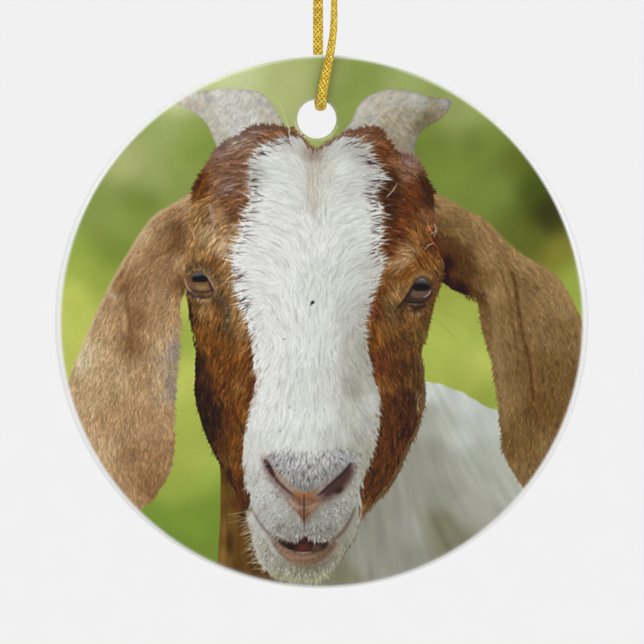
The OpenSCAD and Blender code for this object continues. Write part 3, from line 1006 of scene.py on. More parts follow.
HEAD_FLOW = [
    (-7, 26.5, 160), (-11, 25, 200), (-13, 22, 190), (-16, 20, 215), (-11, 19, 183), (-14, 16, 200),
    (-16.5, 13, 240), (-13, 12, 215), (-16, 9, 250), (-13, 8, 235), (-12.5, 4, 250), (-16, 1, 262),
    (-11.5, 0, 250), (-17, -6, 268), (-14, -6, 258), (-11, -7, 248), (-16, -13, 285), (-13, -14, 265),
    (-11.5, -18, 262), (-13, -21, 285), (6, 26, 10), (9, 24, -15), (12, 22, -30), (10, 19, -15),
    (14, 18, -50), (10, 15, -20), (14, 13, -60), (11, 11, -20), (15, 9, -60), (11, 7, 40), (9, 4, -60),
    (12, 0, -75), (9, -3, -70), (14, -4, -85), (8.5, -10, -68), (12, -11, -85), (9.5, -17, -85),
    (12, -16, -105), (8, -22, -105), (6, -26, -110),
]
BLAZE_FLOW = [
    (-1, 24, 90), (-3.5, 24.5, 140), (-6, 23, 158), (-9, 22, 175), (-9, 19, 178), (-5, 19, 165),
    (-1, 20, 92), (2, 24, 45), (5, 24, 20), (7.5, 22, -5), (4, 20, 15), (7.5, 18, -10), (-5, 15, 160),
    (-9.5, 14, 178), (-1, 15, 92), (3.5, 15, 25), (7, 14, 5), (-11, 10, 175), (-7, 11, 150), (-4, 9, 115),
    (-1, 9, 92), (2, 9, 65), (5, 11, 30), (7.5, 9, 15), (-11, 5, 195), (-8, 5, 150), (-4, 3, 100),
    (0, 3, 85), (4, 4, 55), (7, 5, 15), (-10, 0, 220), (-6, -1, 120), (-2, -2, 92), (3, -2, 70),
    (6, 0, -25), (-9, -6, 235), (-5, -6, 255), (-1, -7, 268), (3, -6, 290), (6, -6, -50), (-9, -12, 240),
    (-4, -12, 262), (2, -12, 280), (7, -12, -55), (-10, -18, 262), (-5, -17, 245), (0, -16, 270),
    (5, -17, 295), (-9, -24, 255), (-7, -28, 235), (5, -24, -75), (2, -28, -60), (-4, -27, 250),
    (-3, -30, 265), (0, -30, 275), (-5, -35, 262), (0, -35, 275),
]


def paint_head():
    """The brown hair of the head, with its dark cheeks and light brows."""
    brown = spread([
        (-2.3, 24.6, UMBER), (-4, 26.2, RUSSET), (-6, 26.4, UMBER), (-9, 26.3, PLUM), (-12, 25.2, MAUVE),
        (-14, 23.4, PLUM), (-8, 25.2, RUSSET), (-12, 22.3, UMBER), (-14.6, 21.6, UMBER), (-10.3, 21, UMBER),
        (-11, 19, UMBER), (-13, 18.4, PLUM), (-12.7, 16.8, RUSSET), (-15, 19.4, UMBER), (-16.4, 19.7, RUST),
        (-17.2, 18.2, RUST), (-16.5, 16, HONEY), (-14.3, 14.2, FAWN), (-12, 14.5, RUSSET),
        (-12.6, 12.6, FAWN), (-16, 12, BUFF), (-14, 10, BUFF), (-12.8, 9.5, FAWN), (-13, 7.6, HONEY),
        (-15, 8, CARAMEL), (-17, 9, HONEY), (-18, 11, HONEY), (-17.7, 14, HONEY), (-16.5, 7.4, BARK),
        (-13, 5, HONEY), (-12.1, 2, HONEY), (-13.6, 2.6, BARK), (-11.4, -1, HONEY), (-11, -4, CARAMEL),
        (-10, -4.5, RUST), (-15, 0, CARAMEL), (-16.5, 1.5, HONEY), (-18, 2, BARK), (-18.3, 0.5, COCOA),
        (-16.5, -2, GINGER), (-14.5, -3, GINGER), (-13.4, -1.2, BARK), (-12.5, -6, RUST), (-15, -6, GINGER),
        (-17.2, -6, PITCH), (-11, -9, CARAMEL), (-9.7, -9, MAROON), (-14, -9, RUST), (-16.8, -10, PITCH),
        (-12.5, -13, RUST), (-10.6, -12.5, GINGER), (-15, -13, PITCH), (-16.5, -14, PITCH),
        (-12, -17, GINGER), (-14, -17, CHESTNUT), (-15.4, -16.5, PITCH), (-12, -21, RUST),
        (-11.2, -24.5, CHESTNUT), (-13.5, -20, BARK), (-13.3, -21.5, PITCH), (-10.8, -26.3, (70, 50, 28)),
        (2, 25.3, PLUM), (6, 26.2, UMBER), (8, 25.6, RUSSET), (8.2, 23.2, MAROON), (10, 22.5, RUSSET),
        (12, 22.4, PLUM), (12, 20.3, UMBER), (9.7, 19.6, COCOA), (13, 18.6, MAROON), (14.6, 19, COCOA),
        (15.2, 17, COCOA), (9.4, 16.3, COCOA), (12, 15.3, MAROON), (15, 14.2, RUSSET), (9.2, 13, CHESTNUT),
        (10.8, 12.5, MAROON), (13, 12.2, CARAMEL), (16, 11, MAROON), (9.3, 9.6, MAROON), (12, 9.4, FAWN),
        (10.7, 8, FAWN), (14, 8.6, GINGER), (15.8, 8, CARAMEL), (16.4, 6.8, BARK), (10, 6, CARAMEL),
        (12, 6.6, GINGER), (8.4, 4.6, GINGER), (10.2, 3.8, HONEY), (7.7, 1.5, MAROON),
        (9.5, 1.6, (98, 76, 44)), (11, 0.8, BARK), (12.4, 0.4, CARAMEL), (14.2, 1, BARK), (7.3, -2, GINGER),
        (8.8, -1.2, CARAMEL), (10, -3.5, (88, 54, 29)), (12, -3, (84, 54, 31)), (13.8, -2.5, (100, 78, 38)),
        (7.8, -6, MAROON), (10.5, -7, (78, 46, 24)), (12.8, -7, (84, 56, 33)), (9, -9, (104, 64, 34)),
        (9.5, -11, CHESTNUT), (12, -11, COCOA), (13.9, -11, (86, 70, 50)), (9, -15, CHESTNUT),
        (12, -15, COCOA), (8.2, -18, CHESTNUT), (10.5, -18.5, CHESTNUT), (8, -22, CHESTNUT),
        (7, -24, CHESTNUT), (6, -26, BARK),
    ], 0.45)
    brown *= (0.975, 0.98, 0.95)
    lie = flow(HEAD_FLOW)
    fine, wide = comb([noise(41, 0.05), noise(42, 0.14)], lie, 1.0)
    soft = area(HEAD, 0.2)
    cover = ragged(soft, 0.1 * wide, 0.32, 0.68)
    lay(brown * np.exp(0.15 * fine + 0.1 * wide)[..., None], cover)
    coat(cover, lie, brown * 0.93 + (11, 9, 7), 20000, (0.4, 1.3), 0.26, 43, strength=0.5, width=0.05)
    fringe_head(brown, lie)


def fringe_head(brown, lie):
    """The short hairs that stand out along the head's outline."""
    hairline = [(-14.6, 23.6), (-13, 25), (-11, 26), (-10, 26.8), (-7.5, 27.1), (-5, 26.8)]
    fringe(
        hairline, 260, 1, (0, 0.5), (0.4, 1.0), brown * 0.85, lie, 44, normal_share=0.6, lean=0.4,
        width=0.07, strength=0.7,
    )
    hairline = [
        (3, 26.1), (5.5, 26.7), (7, 27), (8, 26.6), (8.6, 25.8), (9.5, 24.7), (10, 23.8), (11, 23.2),
        (12.7, 22.9),
    ]
    fringe(
        hairline, 260, 1, (0, 0.5), (0.4, 1.0), brown * 0.9, lie, 45, normal_share=0.6, lean=0.4,
        width=0.07, strength=0.7,
    )
    edge = [(-14.4, 24), (-15.6, 22), (-16.7, 20.3), (-17.6, 18.3), (-17.9, 16.5)]
    fringe(
        edge, 260, -1, (0, 0.5), (0.4, 1.0), brown, lie, 46, normal_share=0.4, lean=0.35, width=0.07,
        strength=0.6,
    )
    fringe(
        [(-16.6, 20.4), (-17.6, 18.3)], 70, -1, (0, 0.4), (0.5, 1.1), brown * 0.8, lie, 47,
        normal_share=0.6, lean=0.4, width=0.07, strength=0.6,
    )
    edge = [(12.8, 23), (13.8, 21.2), (14.9, 19), (15.5, 18)]
    fringe(
        edge, 200, 1, (0, 0.5), (0.4, 1.0), brown, lie, 48, normal_share=0.4, lean=0.35, width=0.07,
        strength=0.6,
    )
    edge = [(-4.5, 27), (-3, 25.8), (-2.2, 24.8), (-1.2, 23.9)]
    fringe(
        edge, 90, 1, (0, 0.4), (0.4, 0.9), UMBER, lie, 49, normal_share=0.5, lean=0.3, width=0.07,
        strength=0.7,
    )
    edge = [(16.9, 7), (16.4, 5.3), (15.6, 3), (15, 0), (14.2, -3)]
    fringe(edge, 110, 1, (0, 0.3), (0.3, 0.7), brown, lie, 50, normal_share=0.4)
    edge = [(-18.5, 3), (-18, -1), (-17.5, -5), (-17.6, -9), (-17, -13), (-15.5, -17), (-13.8, -20.3)]
    fringe(edge, 200, -1, (0, 0.3), (0.2, 0.5), PITCH, lie, 51, normal_share=0.3)
    edge = [(13.8, -5), (14.3, -9), (13.6, -14), (12.3, -17), (10.5, -21), (8, -24.5), (5.4, -27.2)]
    fringe(edge, 420, 1, (0, 0.4), (0.4, 1.1), (98, 76, 52), lie, 52, normal_share=0.15, strength=0.55)


def paint_blaze():
    """The white blaze and muzzle, with hair that crosses its edges."""
    white = spread([
        (-1.2, 23.2, (152, 138, 124)), (-4, 24.6, PEARL), (-7, 23, MILK), (-7, 21.5, MILK), (-9, 21, PEARL),
        (-4, 22, MILK), (-4, 20, MILK), (-1, 21.5, CREAM), (-0.8, 19.5, CREAM), (-1, 17, CREAM),
        (0.2, 18.3, MILK), (3, 22, MILK), (2, 24, PEARL), (5, 23.6, ASH), (5, 19, (196, 196, 194)),
        (7.2, 19, PEARL), (-7, 17, SNOW), (-3.4, 17, MILK), (-3, 14, SNOW), (1, 15.8, MILK), (5, 15, MILK),
        (-8, 12, SNOW), (-4, 11, SNOW), (0, 11, SNOW), (4, 11, MILK), (6.6, 12.6, MILK), (-9, 8, SNOW),
        (-5, 6, SNOW), (-1, 6, MILK), (4, 6, (202, 204, 198)), (6.8, 7, PEARL), (-8, 3, SNOW),
        (-4, 1, SNOW), (0, 1, MILK), (4, 1, PEARL), (5.6, 1, ASH), (-7, -4, SNOW), (-3, -4, SNOW),
        (1, -4, MILK), (4, -4, ASH), (5.7, -4, STONE), (-7, -9, SNOW), (-3, -9, MILK),
        (1, -9, (200, 201, 195)), (4.7, -9, STONE), (6.4, -9, (170, 170, 158)), (7.3, -11, PEARL),
        (-8, -13, SNOW), (-4, -13, SNOW), (0, -13, MILK), (4, -13, (184, 185, 175)), (7, -14.5, ASH),
        (-9.5, -18, (203, 204, 197)), (-6, -16.5, MILK), (-2, -16.5, MILK), (2, -16, PEARL),
        (5.5, -17.5, (160, 160, 146)), (-10, -22, (194, 195, 188)), (-8.5, -24, PEARL), (-8, -27, ASH),
        (-6, -26.5, (168, 167, 161)), (-5, -28.5, PEBBLE), (1, -27, PEBBLE), (3, -26, PEBBLE),
        (5, -24, STONE), (5.5, -21, STONE), (4.6, -22.5, STONE), (0, -28.5, (120, 119, 108)),
        (-3, -29, (128, 126, 116)), (-9, -29.3, (180, 180, 172)), (-8.1, -31.2, ASH),
        (-7.3, -33.4, (160, 158, 150)), (-5.5, -35, (135, 131, 110)), (-3, -35.5, (114, 109, 90)),
        (-1, -35.5, (106, 102, 80)), (1.2, -34, (120, 117, 99)), (3.2, -31.2, (140, 140, 122)),
        (4.2, -28.6, (150, 150, 136)),
    ], 0.5)
    lie = flow(BLAZE_FLOW)
    fine, wide, shade = comb([noise(61, 0.05), noise(62, 0.13), noise(67, 0.07)], lie, 1.3)
    smooth = area(BLAZE, 0.5)
    free = step(UP, -28, -24)
    jag = (0.17 * wide + 0.08 * fine) * (0.25 + 0.75 * free)
    cover = ragged(smooth, jag, 0.36, 0.6)
    gap = step(smooth, 0.08, 0.42) * (1 - cover) * free
    lay(PLUM_BLACK, (0.12 + 0.3 * step(UP, 14, 20)) * gap * step(wide, -0.8, 0.8))
    lay(white * (1 + 0.022 * fine + 0.03 * np.minimum(wide, 0.6))[..., None], cover)
    coat(cover * (UP > -20), lie, white * 0.9, 3600, (0.6, 1.8), 0.05, 63, strength=0.24, width=0.05)
    coat(cover * (UP > -20), lie, white * 1.06, 5200, (0.6, 1.8), 0.03, 64, strength=0.36, width=0.05)
    cross_blaze_edges(white, lie)
    ridge = band([(-1.1, 23.4), (-0.9, 20), (-1, 17), (-0.9, 14.6)], (1.5, 1.8, 1.6, 0.8), 0.5)
    lay((164, 150, 122), 0.6 * ridge * step(fine, 0.0, 1.8))
    below_crown, above_nose = 1 - step(UP, 17, 22), step(UP, -18, -10)
    well_inside = step(area(BLAZE, 0.8), 0.6, 0.95)
    lay(GREY_FUZZ, 0.2 * step(shade, 0.9, 2.6) * well_inside * below_crown * above_nose)


def cross_blaze_edges(white, lie):
    """White hairs out over the brown, and dark and tan hairs in over the white."""
    left = [
        (-4.6, 25.3), (-8, 24), (-9.5, 22.5), (-9.8, 20), (-9.5, 18), (-10, 15.5), (-10.6, 13.5),
        (-11.5, 11), (-12.1, 9.5), (-11.8, 7), (-11.2, 3.5), (-10.1, 0), (-9.6, -2), (-9.2, -5), (-9, -9),
        (-9.8, -12), (-10.6, -15), (-10.9, -19), (-10.5, -23),
    ]
    right = [
        (3.5, 25.4), (6, 24.3), (6.5, 23), (8, 21), (8.2, 20), (7, 18), (7.5, 16), (8, 13.5), (7.5, 10),
        (8.4, 8), (7.5, 5), (6.8, 3), (6, 0), (6.2, -3), (6.5, -5), (6.9, -7), (7.9, -10), (8, -12),
        (7.7, -15), (6.7, -19), (5.5, -22.5),
    ]
    # a little lighter over the forehead than beside the nose
    high, low = (UP > -6)[..., None], (UP <= -6)[..., None]
    pale = white * 1.03 * high + white * 0.99 * low
    for edge, side, seed in ((left, -1, 65), (right, 1, 75)):
        fringe(
            edge, 700, side, (0.1, 1.0), (0.4, 1.2), pale, lie, seed, lean=0.22, strength=0.55, vary=0.05,
            width=0.06,
        )
        fringe(
            edge, 360, -side, (-0.3, 0.5), (0.3, 1.0), PLUM_BLACK, lie, seed + 1, lean=0.22, strength=0.14,
            width=0.05,
        )
        fringe(
            edge, 260, -side, (-0.4, 0.4), (0.3, 1.1), CARAMEL, lie, seed + 2, lean=0.3, strength=0.3,
            width=0.05,
        )
        fringe(
            edge, 460, side, (0.0, 0.8), (0.5, 1.3), pale, lie, seed + 3, lean=0.25, strength=0.6,
            width=0.05, vary=0.04,
        )
    for edge, side, seed in ((left[:12], -1, 69), (right[:10], 1, 79)):
        fringe(
            edge, 200, side, (-0.1, 1.2), (1.0, 2.5), pale, lie, seed, lean=0.24, strength=0.75, width=0.07,
            vary=0.04,
        )
        fringe(
            edge, 90, -side, (-0.3, 0.5), (0.7, 2.0), (74, 56, 64), lie, seed + 20, lean=0.24, strength=0.5,
            width=0.05,
        )


# The lie of the short hair: where (x, z) and at what angle in degrees
NOSE_LIE = [
    (-7, -20, 240), (-4, -21, 262), (-2.3, -22, 270), (1, -21, 285), (4, -20, 300), (-6, -24, 235),
    (-2.3, -28, 270), (2, -25, 305),
]
MOUTH_LIE = [(-8, -26, 235), (-5, -28, 250), (-2.4, -29, 270), (0, -28, 290), (3, -27, 310)]
CHIN_LIE = [(-8.5, -32, 248), (-5, -34, 260), (-2.4, -35, 270), (0.5, -34, 282), (3.5, -30, 300)]


def fuzz(cover, count, lie, length, colours, seed, strength=0.5, width=0.06, lean=0.3):
    """Short fine hairs scattered over an area, each in one of the colours and pointing down."""
    rng = np.random.default_rng(seed)
    roots = scatter(cover, count, seed)
    turn = look_up(flow(lie), roots)
    turn = np.where(np.sin(turn) > 0, turn + math.pi, turn) + rng.normal(0, lean, count)
    pick = rng.integers(0, len(colours), count)
    tint = np.asarray(colours, float)[pick] * np.exp(rng.normal(0, 0.1, (count, 1)))
    lengths = length[0] + rng.random(count) * (length[1] - length[0])
    hairs(roots, turn, lengths, np.clip(tint, 15, 235), strength, width, seed)


def paint_nose_hair():
    """Short grey hair on the bridge of the nose."""
    top = [
        (-7.8, -18.7), (-5.5, -18), (-3, -18.6), (-0.5, -18.9), (1.5, -18.1), (3.8, -18.2), (4.8, -19.6),
        (3.6, -21.8), (0.8, -24), (-1, -24.8), (-3, -24.8), (-5, -23.4), (-7, -21.2),
    ]
    grey = spread([
        (-6.8, -19.2, (178, 176, 176)), (-5.6, -20.4, (170, 168, 166)), (-4, -19.6, (198, 198, 199)),
        (-2, -18.6, (216, 209, 205)), (-1, -20, (192, 190, 191)), (0.2, -18.8, (212, 208, 207)),
        (2.2, -19, (188, 188, 191)), (3.6, -19.2, (156, 156, 162)), (-4.4, -21.6, (164, 162, 158)),
        (-2.5, -21.8, (148, 147, 145)), (0.2, -21.6, (146, 144, 141)), (2, -20.4, (146, 145, 143)),
        (-2.5, -23.1, (114, 107, 98)), (-5.8, -21.6, (162, 154, 138)),
    ], 0.5)
    lay(grey, 0.85 * step(area(top, 0.6), 0.3, 0.9))
    above = area([
        (-8.2, -18.4), (-5, -17.4), (-2, -18.2), (1.5, -17.4), (5, -17.6), (5, -20), (2.4, -22.6),
        (-0.4, -24), (-3.6, -24), (-6, -22.2), (-7.8, -20),
    ], 0.5)
    fuzz(
        above, 1150, NOSE_LIE, (0.4, 1.0), ((52, 51, 53), (70, 69, 71), (90, 89, 90)), 181, 0.2, 0.05, 0.18,
    )
    fuzz(above, 800, NOSE_LIE, (0.4, 0.9), ((220, 220, 220), (204, 204, 203)), 182, 0.15, 0.05, 0.18)


def paint_left_nostril():
    """A soft brown shade, a dark slit, and the crease that runs on to the groove."""
    patch([
        (-8.3, -18.9), (-7.5, -18.9), (-6.7, -20.6), (-5.4, -22.4), (-3.6, -24.1), (-2.6, -25),
        (-3.6, -25.3), (-5.2, -24.3), (-6.8, -22.6), (-7.9, -21),
    ], (124, 98, 92), 0.32, 0.8)
    stroke([
        (-6.5, -20.8), (-5.6, -21.7), (-4.5, -22.8), (-3.4, -23.6), (-2.5, -23.9),
    ], (0.3, 0.5, 0.6, 0.6, 0.5), (160, 134, 108), 0.7, 0.22)
    stroke([(-7.8, -19.4), (-7.3, -20.3), (-6.8, -21.2)], (0.5, 0.8, 0.5), (56, 38, 38), 0.9, 0.2)
    stroke([(-7.4, -20), (-7, -20.8), (-6.6, -21.4)], (0.2, 0.36, 0.2), INK, 0.7, 0.12)
    stroke([
        (-7.1, -20.7), (-6.4, -21.8), (-5.7, -22.6), (-4.7, -23.5), (-3.7, -24.3), (-2.7, -24.9),
    ], (0.45, 0.42, 0.36, 0.34, 0.3, 0.15), (76, 48, 40), 0.8, 0.17)


def paint_right_nostril():
    """A dark crease over a wide brown hollow."""
    patch([
        (-0.4, -24.2), (0.6, -23.2), (1.6, -22.2), (2.8, -21.0), (3.8, -19.9), (4.5, -19.9), (4.3, -21.6),
        (3.5, -23), (2.4, -24), (1, -24.8), (-0.2, -25.1),
    ], (96, 71, 64), 0.28, 0.92)
    stroke([
        (-0.9, -23.5), (0.2, -22.7), (1.2, -21.9), (2.3, -21.1),
    ], (0.4, 0.34, 0.24, 0.1), (146, 118, 92), 0.6, 0.2)
    stroke([
        (4, -19.8), (3.4, -20.6), (2.6, -21.4), (1.4, -22.5), (0.3, -23.5), (-0.5, -24.1),
    ], (0.3, 0.45, 0.45, 0.45, 0.4, 0.2), (46, 31, 28), 0.82, 0.2)
    stroke([
        (3.8, -20.7), (3, -21.9), (1.8, -23), (0.7, -23.9),
    ], (0.6, 1.1, 1.1, 0.6), (62, 43, 40), 0.75, 0.34)
    patch([(1.8, -23.5), (2.5, -23.0), (3, -23.0), (2.8, -23.6), (2.2, -23.9)], (34, 22, 20), 0.14, 0.7)


def paint_groove():
    """The bare middle of the nose and the groove down to the lip."""
    patch([
        (-3.9, -24.2), (-2.9, -24.0), (-1.8, -24), (-0.6, -24.1), (0.0, -24.8), (-0.6, -25.8),
        (-1.4, -26.6), (-2.4, -27.9), (-3.2, -26.9), (-4, -26), (-4.8, -25),
    ], (128, 92, 70), 0.28, 0.9)
    stroke([
        (-3.9, -23.6), (-3, -24), (-2.5, -24.15), (-1.7, -24), (-0.8, -23.6),
    ], (0.3, 0.6, 0.62, 0.55, 0.3), (156, 98, 58), 0.78, 0.2)
    stroke([(-4.4, -24.7), (-3.9, -25.3), (-3.3, -25.9)], (0.3, 0.6, 0.3), (172, 154, 142), 0.7, 0.24)
    stroke([(-0.7, -25.1), (-1.3, -25.8), (-1.8, -26.3)], (0.4, 0.5, 0.2), (162, 132, 112), 0.6, 0.24)
    stroke([(-3.2, -24.6), (-2.9, -25.3)], 0.34, (104, 64, 44), 0.55, 0.2)
    stroke([(-1.9, -24.5), (-1.2, -24.9), (-0.6, -24.9)], (0.3, 0.4, 0.2), (108, 68, 48), 0.5, 0.2)
    stroke([(-3.1, -26.5), (-2.5, -27.3), (-1.9, -26.7)], 0.4, (106, 70, 50), 0.65, 0.18)
    stroke([
        (-3.1, -25.6), (-2.6, -25.9), (-1.9, -25.75), (-1.1, -25.5),
    ], (0.08, 0.16, 0.16, 0.08), (206, 180, 160), 0.4, 0.1)
    stroke([
        (-2.45, -24.1), (-2.45, -25.4), (-2.45, -26.8), (-2.42, -28.2), (-2.4, -30.2),
    ], (0.2, 0.26, 0.24, 0.16, 0.14), (58, 38, 32), 0.65, 0.11)


def paint_nose_edges():
    """Pale hairs over the edges of the bare skin."""
    sides = area([
        (-9.4, -20), (-8, -20.6), (-6.6, -22.6), (-4.8, -24.4), (-3, -27), (-2.3, -28.8), (-5, -28.4),
        (-8, -25), (-9.6, -22),
    ], 0.25)
    sides += area([
        (5.4, -19.6), (4.8, -20.8), (4, -22.6), (2.6, -24.2), (0.6, -25.4), (-1, -26.8), (-2.1, -28.8),
        (1, -28.4), (4, -26), (5.4, -23),
    ], 0.25)
    fuzz(sides, 1300, NOSE_LIE, (0.3, 0.8), ((202, 203, 199), (188, 189, 184), (212, 212, 208)), 183, 0.13)
    fuzz(sides, 380, NOSE_LIE, (0.2, 0.5), ((96, 92, 90), (116, 112, 110)), 184, 0.12)
    brim = area([
        (-8.3, -18.6), (-7.4, -19.6), (-5.8, -22.6), (-3.4, -25), (-4.6, -25.6), (-6.9, -23.6), (-8.4, -21),
    ], 0.15)
    brim += area([
        (-0.4, -25.4), (1, -24.4), (3, -23), (4.2, -20.4), (5, -20.4), (4.2, -23), (1.8, -25),
    ], 0.15)
    fuzz(brim, 260, NOSE_LIE, (0.2, 0.5), ((70, 56, 56), (118, 98, 94), (196, 190, 186)), 185, 0.2)


def paint_upper_lip():
    """Fine grey fuzz over the upper lip."""
    muzzle = area([
        (-9, -26), (-5, -25.8), (-4, -27), (-2.4, -28.6), (-0.6, -26.8), (1, -25.8), (3.8, -25.2),
        (3.4, -27.6), (1.4, -30), (-2.4, -29.7), (-6, -29.6), (-8, -28.2),
    ], 0.4)
    low = area([
        (-6, -28.2), (-4, -28), (-2.4, -28.8), (-0.6, -28), (1.4, -28), (2, -29.6), (0.8, -30.4),
        (-2.4, -30), (-5.6, -30.1),
    ], 0.4)
    lay((150, 148, 138), 0.35 * low)
    fuzz(muzzle, 900, MOUTH_LIE, (0.25, 0.7), ((206, 206, 201), (192, 191, 185)), 83, 0.12)
    fuzz(muzzle, 620, MOUTH_LIE, (0.2, 0.6), ((86, 82, 80), (104, 100, 97)), 84, 0.1)
    fuzz(low, 640, MOUTH_LIE, (0.3, 0.8), ((78, 70, 66), (96, 90, 84), (182, 180, 170)), 85, 0.15)


def paint_lower_lip():
    """The brown lower lip, its sheen and the creases at both corners of the mouth."""
    lip = [
        (-9.7, -25.2), (-9.4, -26.6), (-8.8, -28), (-8, -29.4), (-7, -30.7), (-6, -32), (-4.8, -33.2),
        (-3.2, -34), (-1.4, -34), (0.4, -33.4), (1.7, -32.3), (2.8, -30.8), (3.8, -29.2), (4.5, -27.4),
        (4.4, -26), (3.4, -27.8), (2.6, -29), (1.4, -30.4), (-1, -31), (-4.5, -30.9), (-6.4, -30),
        (-7.9, -28.4), (-9, -26.8),
    ]
    lay((140, 124, 112), 0.6 * step(area(lip, 0.4), 0.25, 0.85))
    lower = [
        (-7.2, -30.1), (-6.5, -31.4), (-5.4, -32.6), (-3.8, -33.5), (-2, -33.8), (-0.2, -33.3),
        (1.2, -32.2), (2.2, -30.8), (1.6, -30.4), (0.6, -31.4), (-1, -32.1), (-2.6, -32.3), (-4.4, -31.9),
        (-5.8, -31.1), (-6.6, -30.1),
    ]
    field = spread([
        (-7, -30.6, (118, 102, 90)), (-5.6, -31.9, (134, 108, 88)), (-4, -32.8, (136, 106, 82)),
        (-2, -33.1, (120, 94, 72)), (0, -32.8, (108, 86, 68)), (1.5, -31.6, (100, 80, 68)),
    ], 0.5)
    lay(field, 0.9 * step(area(lower, 0.34), 0.2, 0.85))
    lay((92, 70, 56), 0.4 * area(lower, 0.3) * step(noise(88, 0.12), 0.0, 1.8))
    fuzz(
        area(lower, 0.15), 420, MOUTH_LIE, (0.12, 0.34), ((84, 60, 46), (104, 76, 58), (168, 132, 104)), 89,
        0.24,
    )
    stroke([
        (-5.4, -32.2), (-3.8, -32.75), (-2.2, -32.8), (-0.6, -32.5),
    ], (0.2, 0.34, 0.34, 0.2), (170, 132, 108), 0.45, 0.2)
    stroke([
        (-9.9, -25.6), (-9.2, -27), (-8.2, -28.5), (-7.2, -29.5), (-6.3, -30),
    ], (0.2, 0.3, 0.34, 0.34, 0.3), (96, 84, 78), 0.5, 0.2)
    stroke([
        (4.6, -25.9), (4.1, -27.2), (3.3, -28.6), (2.4, -29.7), (1.4, -30.4),
    ], (0.2, 0.36, 0.5, 0.5, 0.3), (84, 72, 64), 0.6, 0.22)


def paint_open_mouth():
    """The dark gap between the lips, with the tongue in it, and the fuzz and pores above."""
    dark = [
        (-6.5, -29.9), (-5.4, -30.2), (-4.4, -30.5), (-3.3, -30.4), (-2.7, -29.9), (-2.3, -29.5),
        (-1.9, -29.9), (-1.2, -30.4), (0.1, -30.5), (1.1, -30.4), (0.9, -31.1), (0.2, -31.7), (-1, -32.05),
        (-2.6, -32.2), (-4.2, -31.9), (-5.2, -31.4), (-6, -30.7),
    ]
    patch(dark, MOUTH, 0.16, 0.97)
    patch([
        (-3.5, -31.9), (-3.2, -31.2), (-2.7, -30.9), (-2.1, -30.9), (-1.8, -31.4), (-1.9, -31.9),
        (-2.6, -32.1),
    ], (98, 48, 42), 0.18, 0.7)
    patch([(-1.4, -31.8), (-1.2, -31.2), (-0.5, -31), (0, -31.3), (-0.4, -31.7)], (112, 78, 70), 0.16, 0.6)
    patch([(-5, -31.2), (-4.4, -30.8), (-3.8, -31), (-3.9, -31.6), (-4.5, -31.6)], (40, 26, 22), 0.12, 0.7)
    stroke([(-3.5, -32.02), (-2.6, -32.14), (-1.5, -32.0)], (0.08, 0.16, 0.08), (190, 178, 164), 0.7, 0.08)
    stroke([(-5.2, -31.4), (-4.6, -31.72), (-3.9, -31.9)], (0.08, 0.14, 0.08), (164, 146, 130), 0.6, 0.08)
    upper = area([
        (-6.8, -29.2), (-4.4, -29.6), (-2.4, -29.2), (-0.6, -29.6), (1.4, -29.6), (1, -30.4), (-1, -30.5),
        (-2.3, -29.8), (-3.4, -30.5), (-5.4, -30.3), (-6.6, -29.9),
    ], 0.1)
    fuzz(upper, 240, MOUTH_LIE, (0.35, 0.9), ((176, 172, 162), (196, 192, 182), (86, 78, 72)), 86, 0.36)
    pores = area([(-9.6, -20), (-7.6, -22), (-5, -25), (-6, -29), (-8.6, -28), (-10, -24)], 0.4)
    pores += area([(1, -26), (3.6, -24), (4.8, -22.4), (5, -25), (3, -28.5), (1, -29)], 0.3)
    fuzz(pores, 150, MOUTH_LIE, (0.1, 0.25), ((84, 78, 76),), 87, 0.5, 0.12)


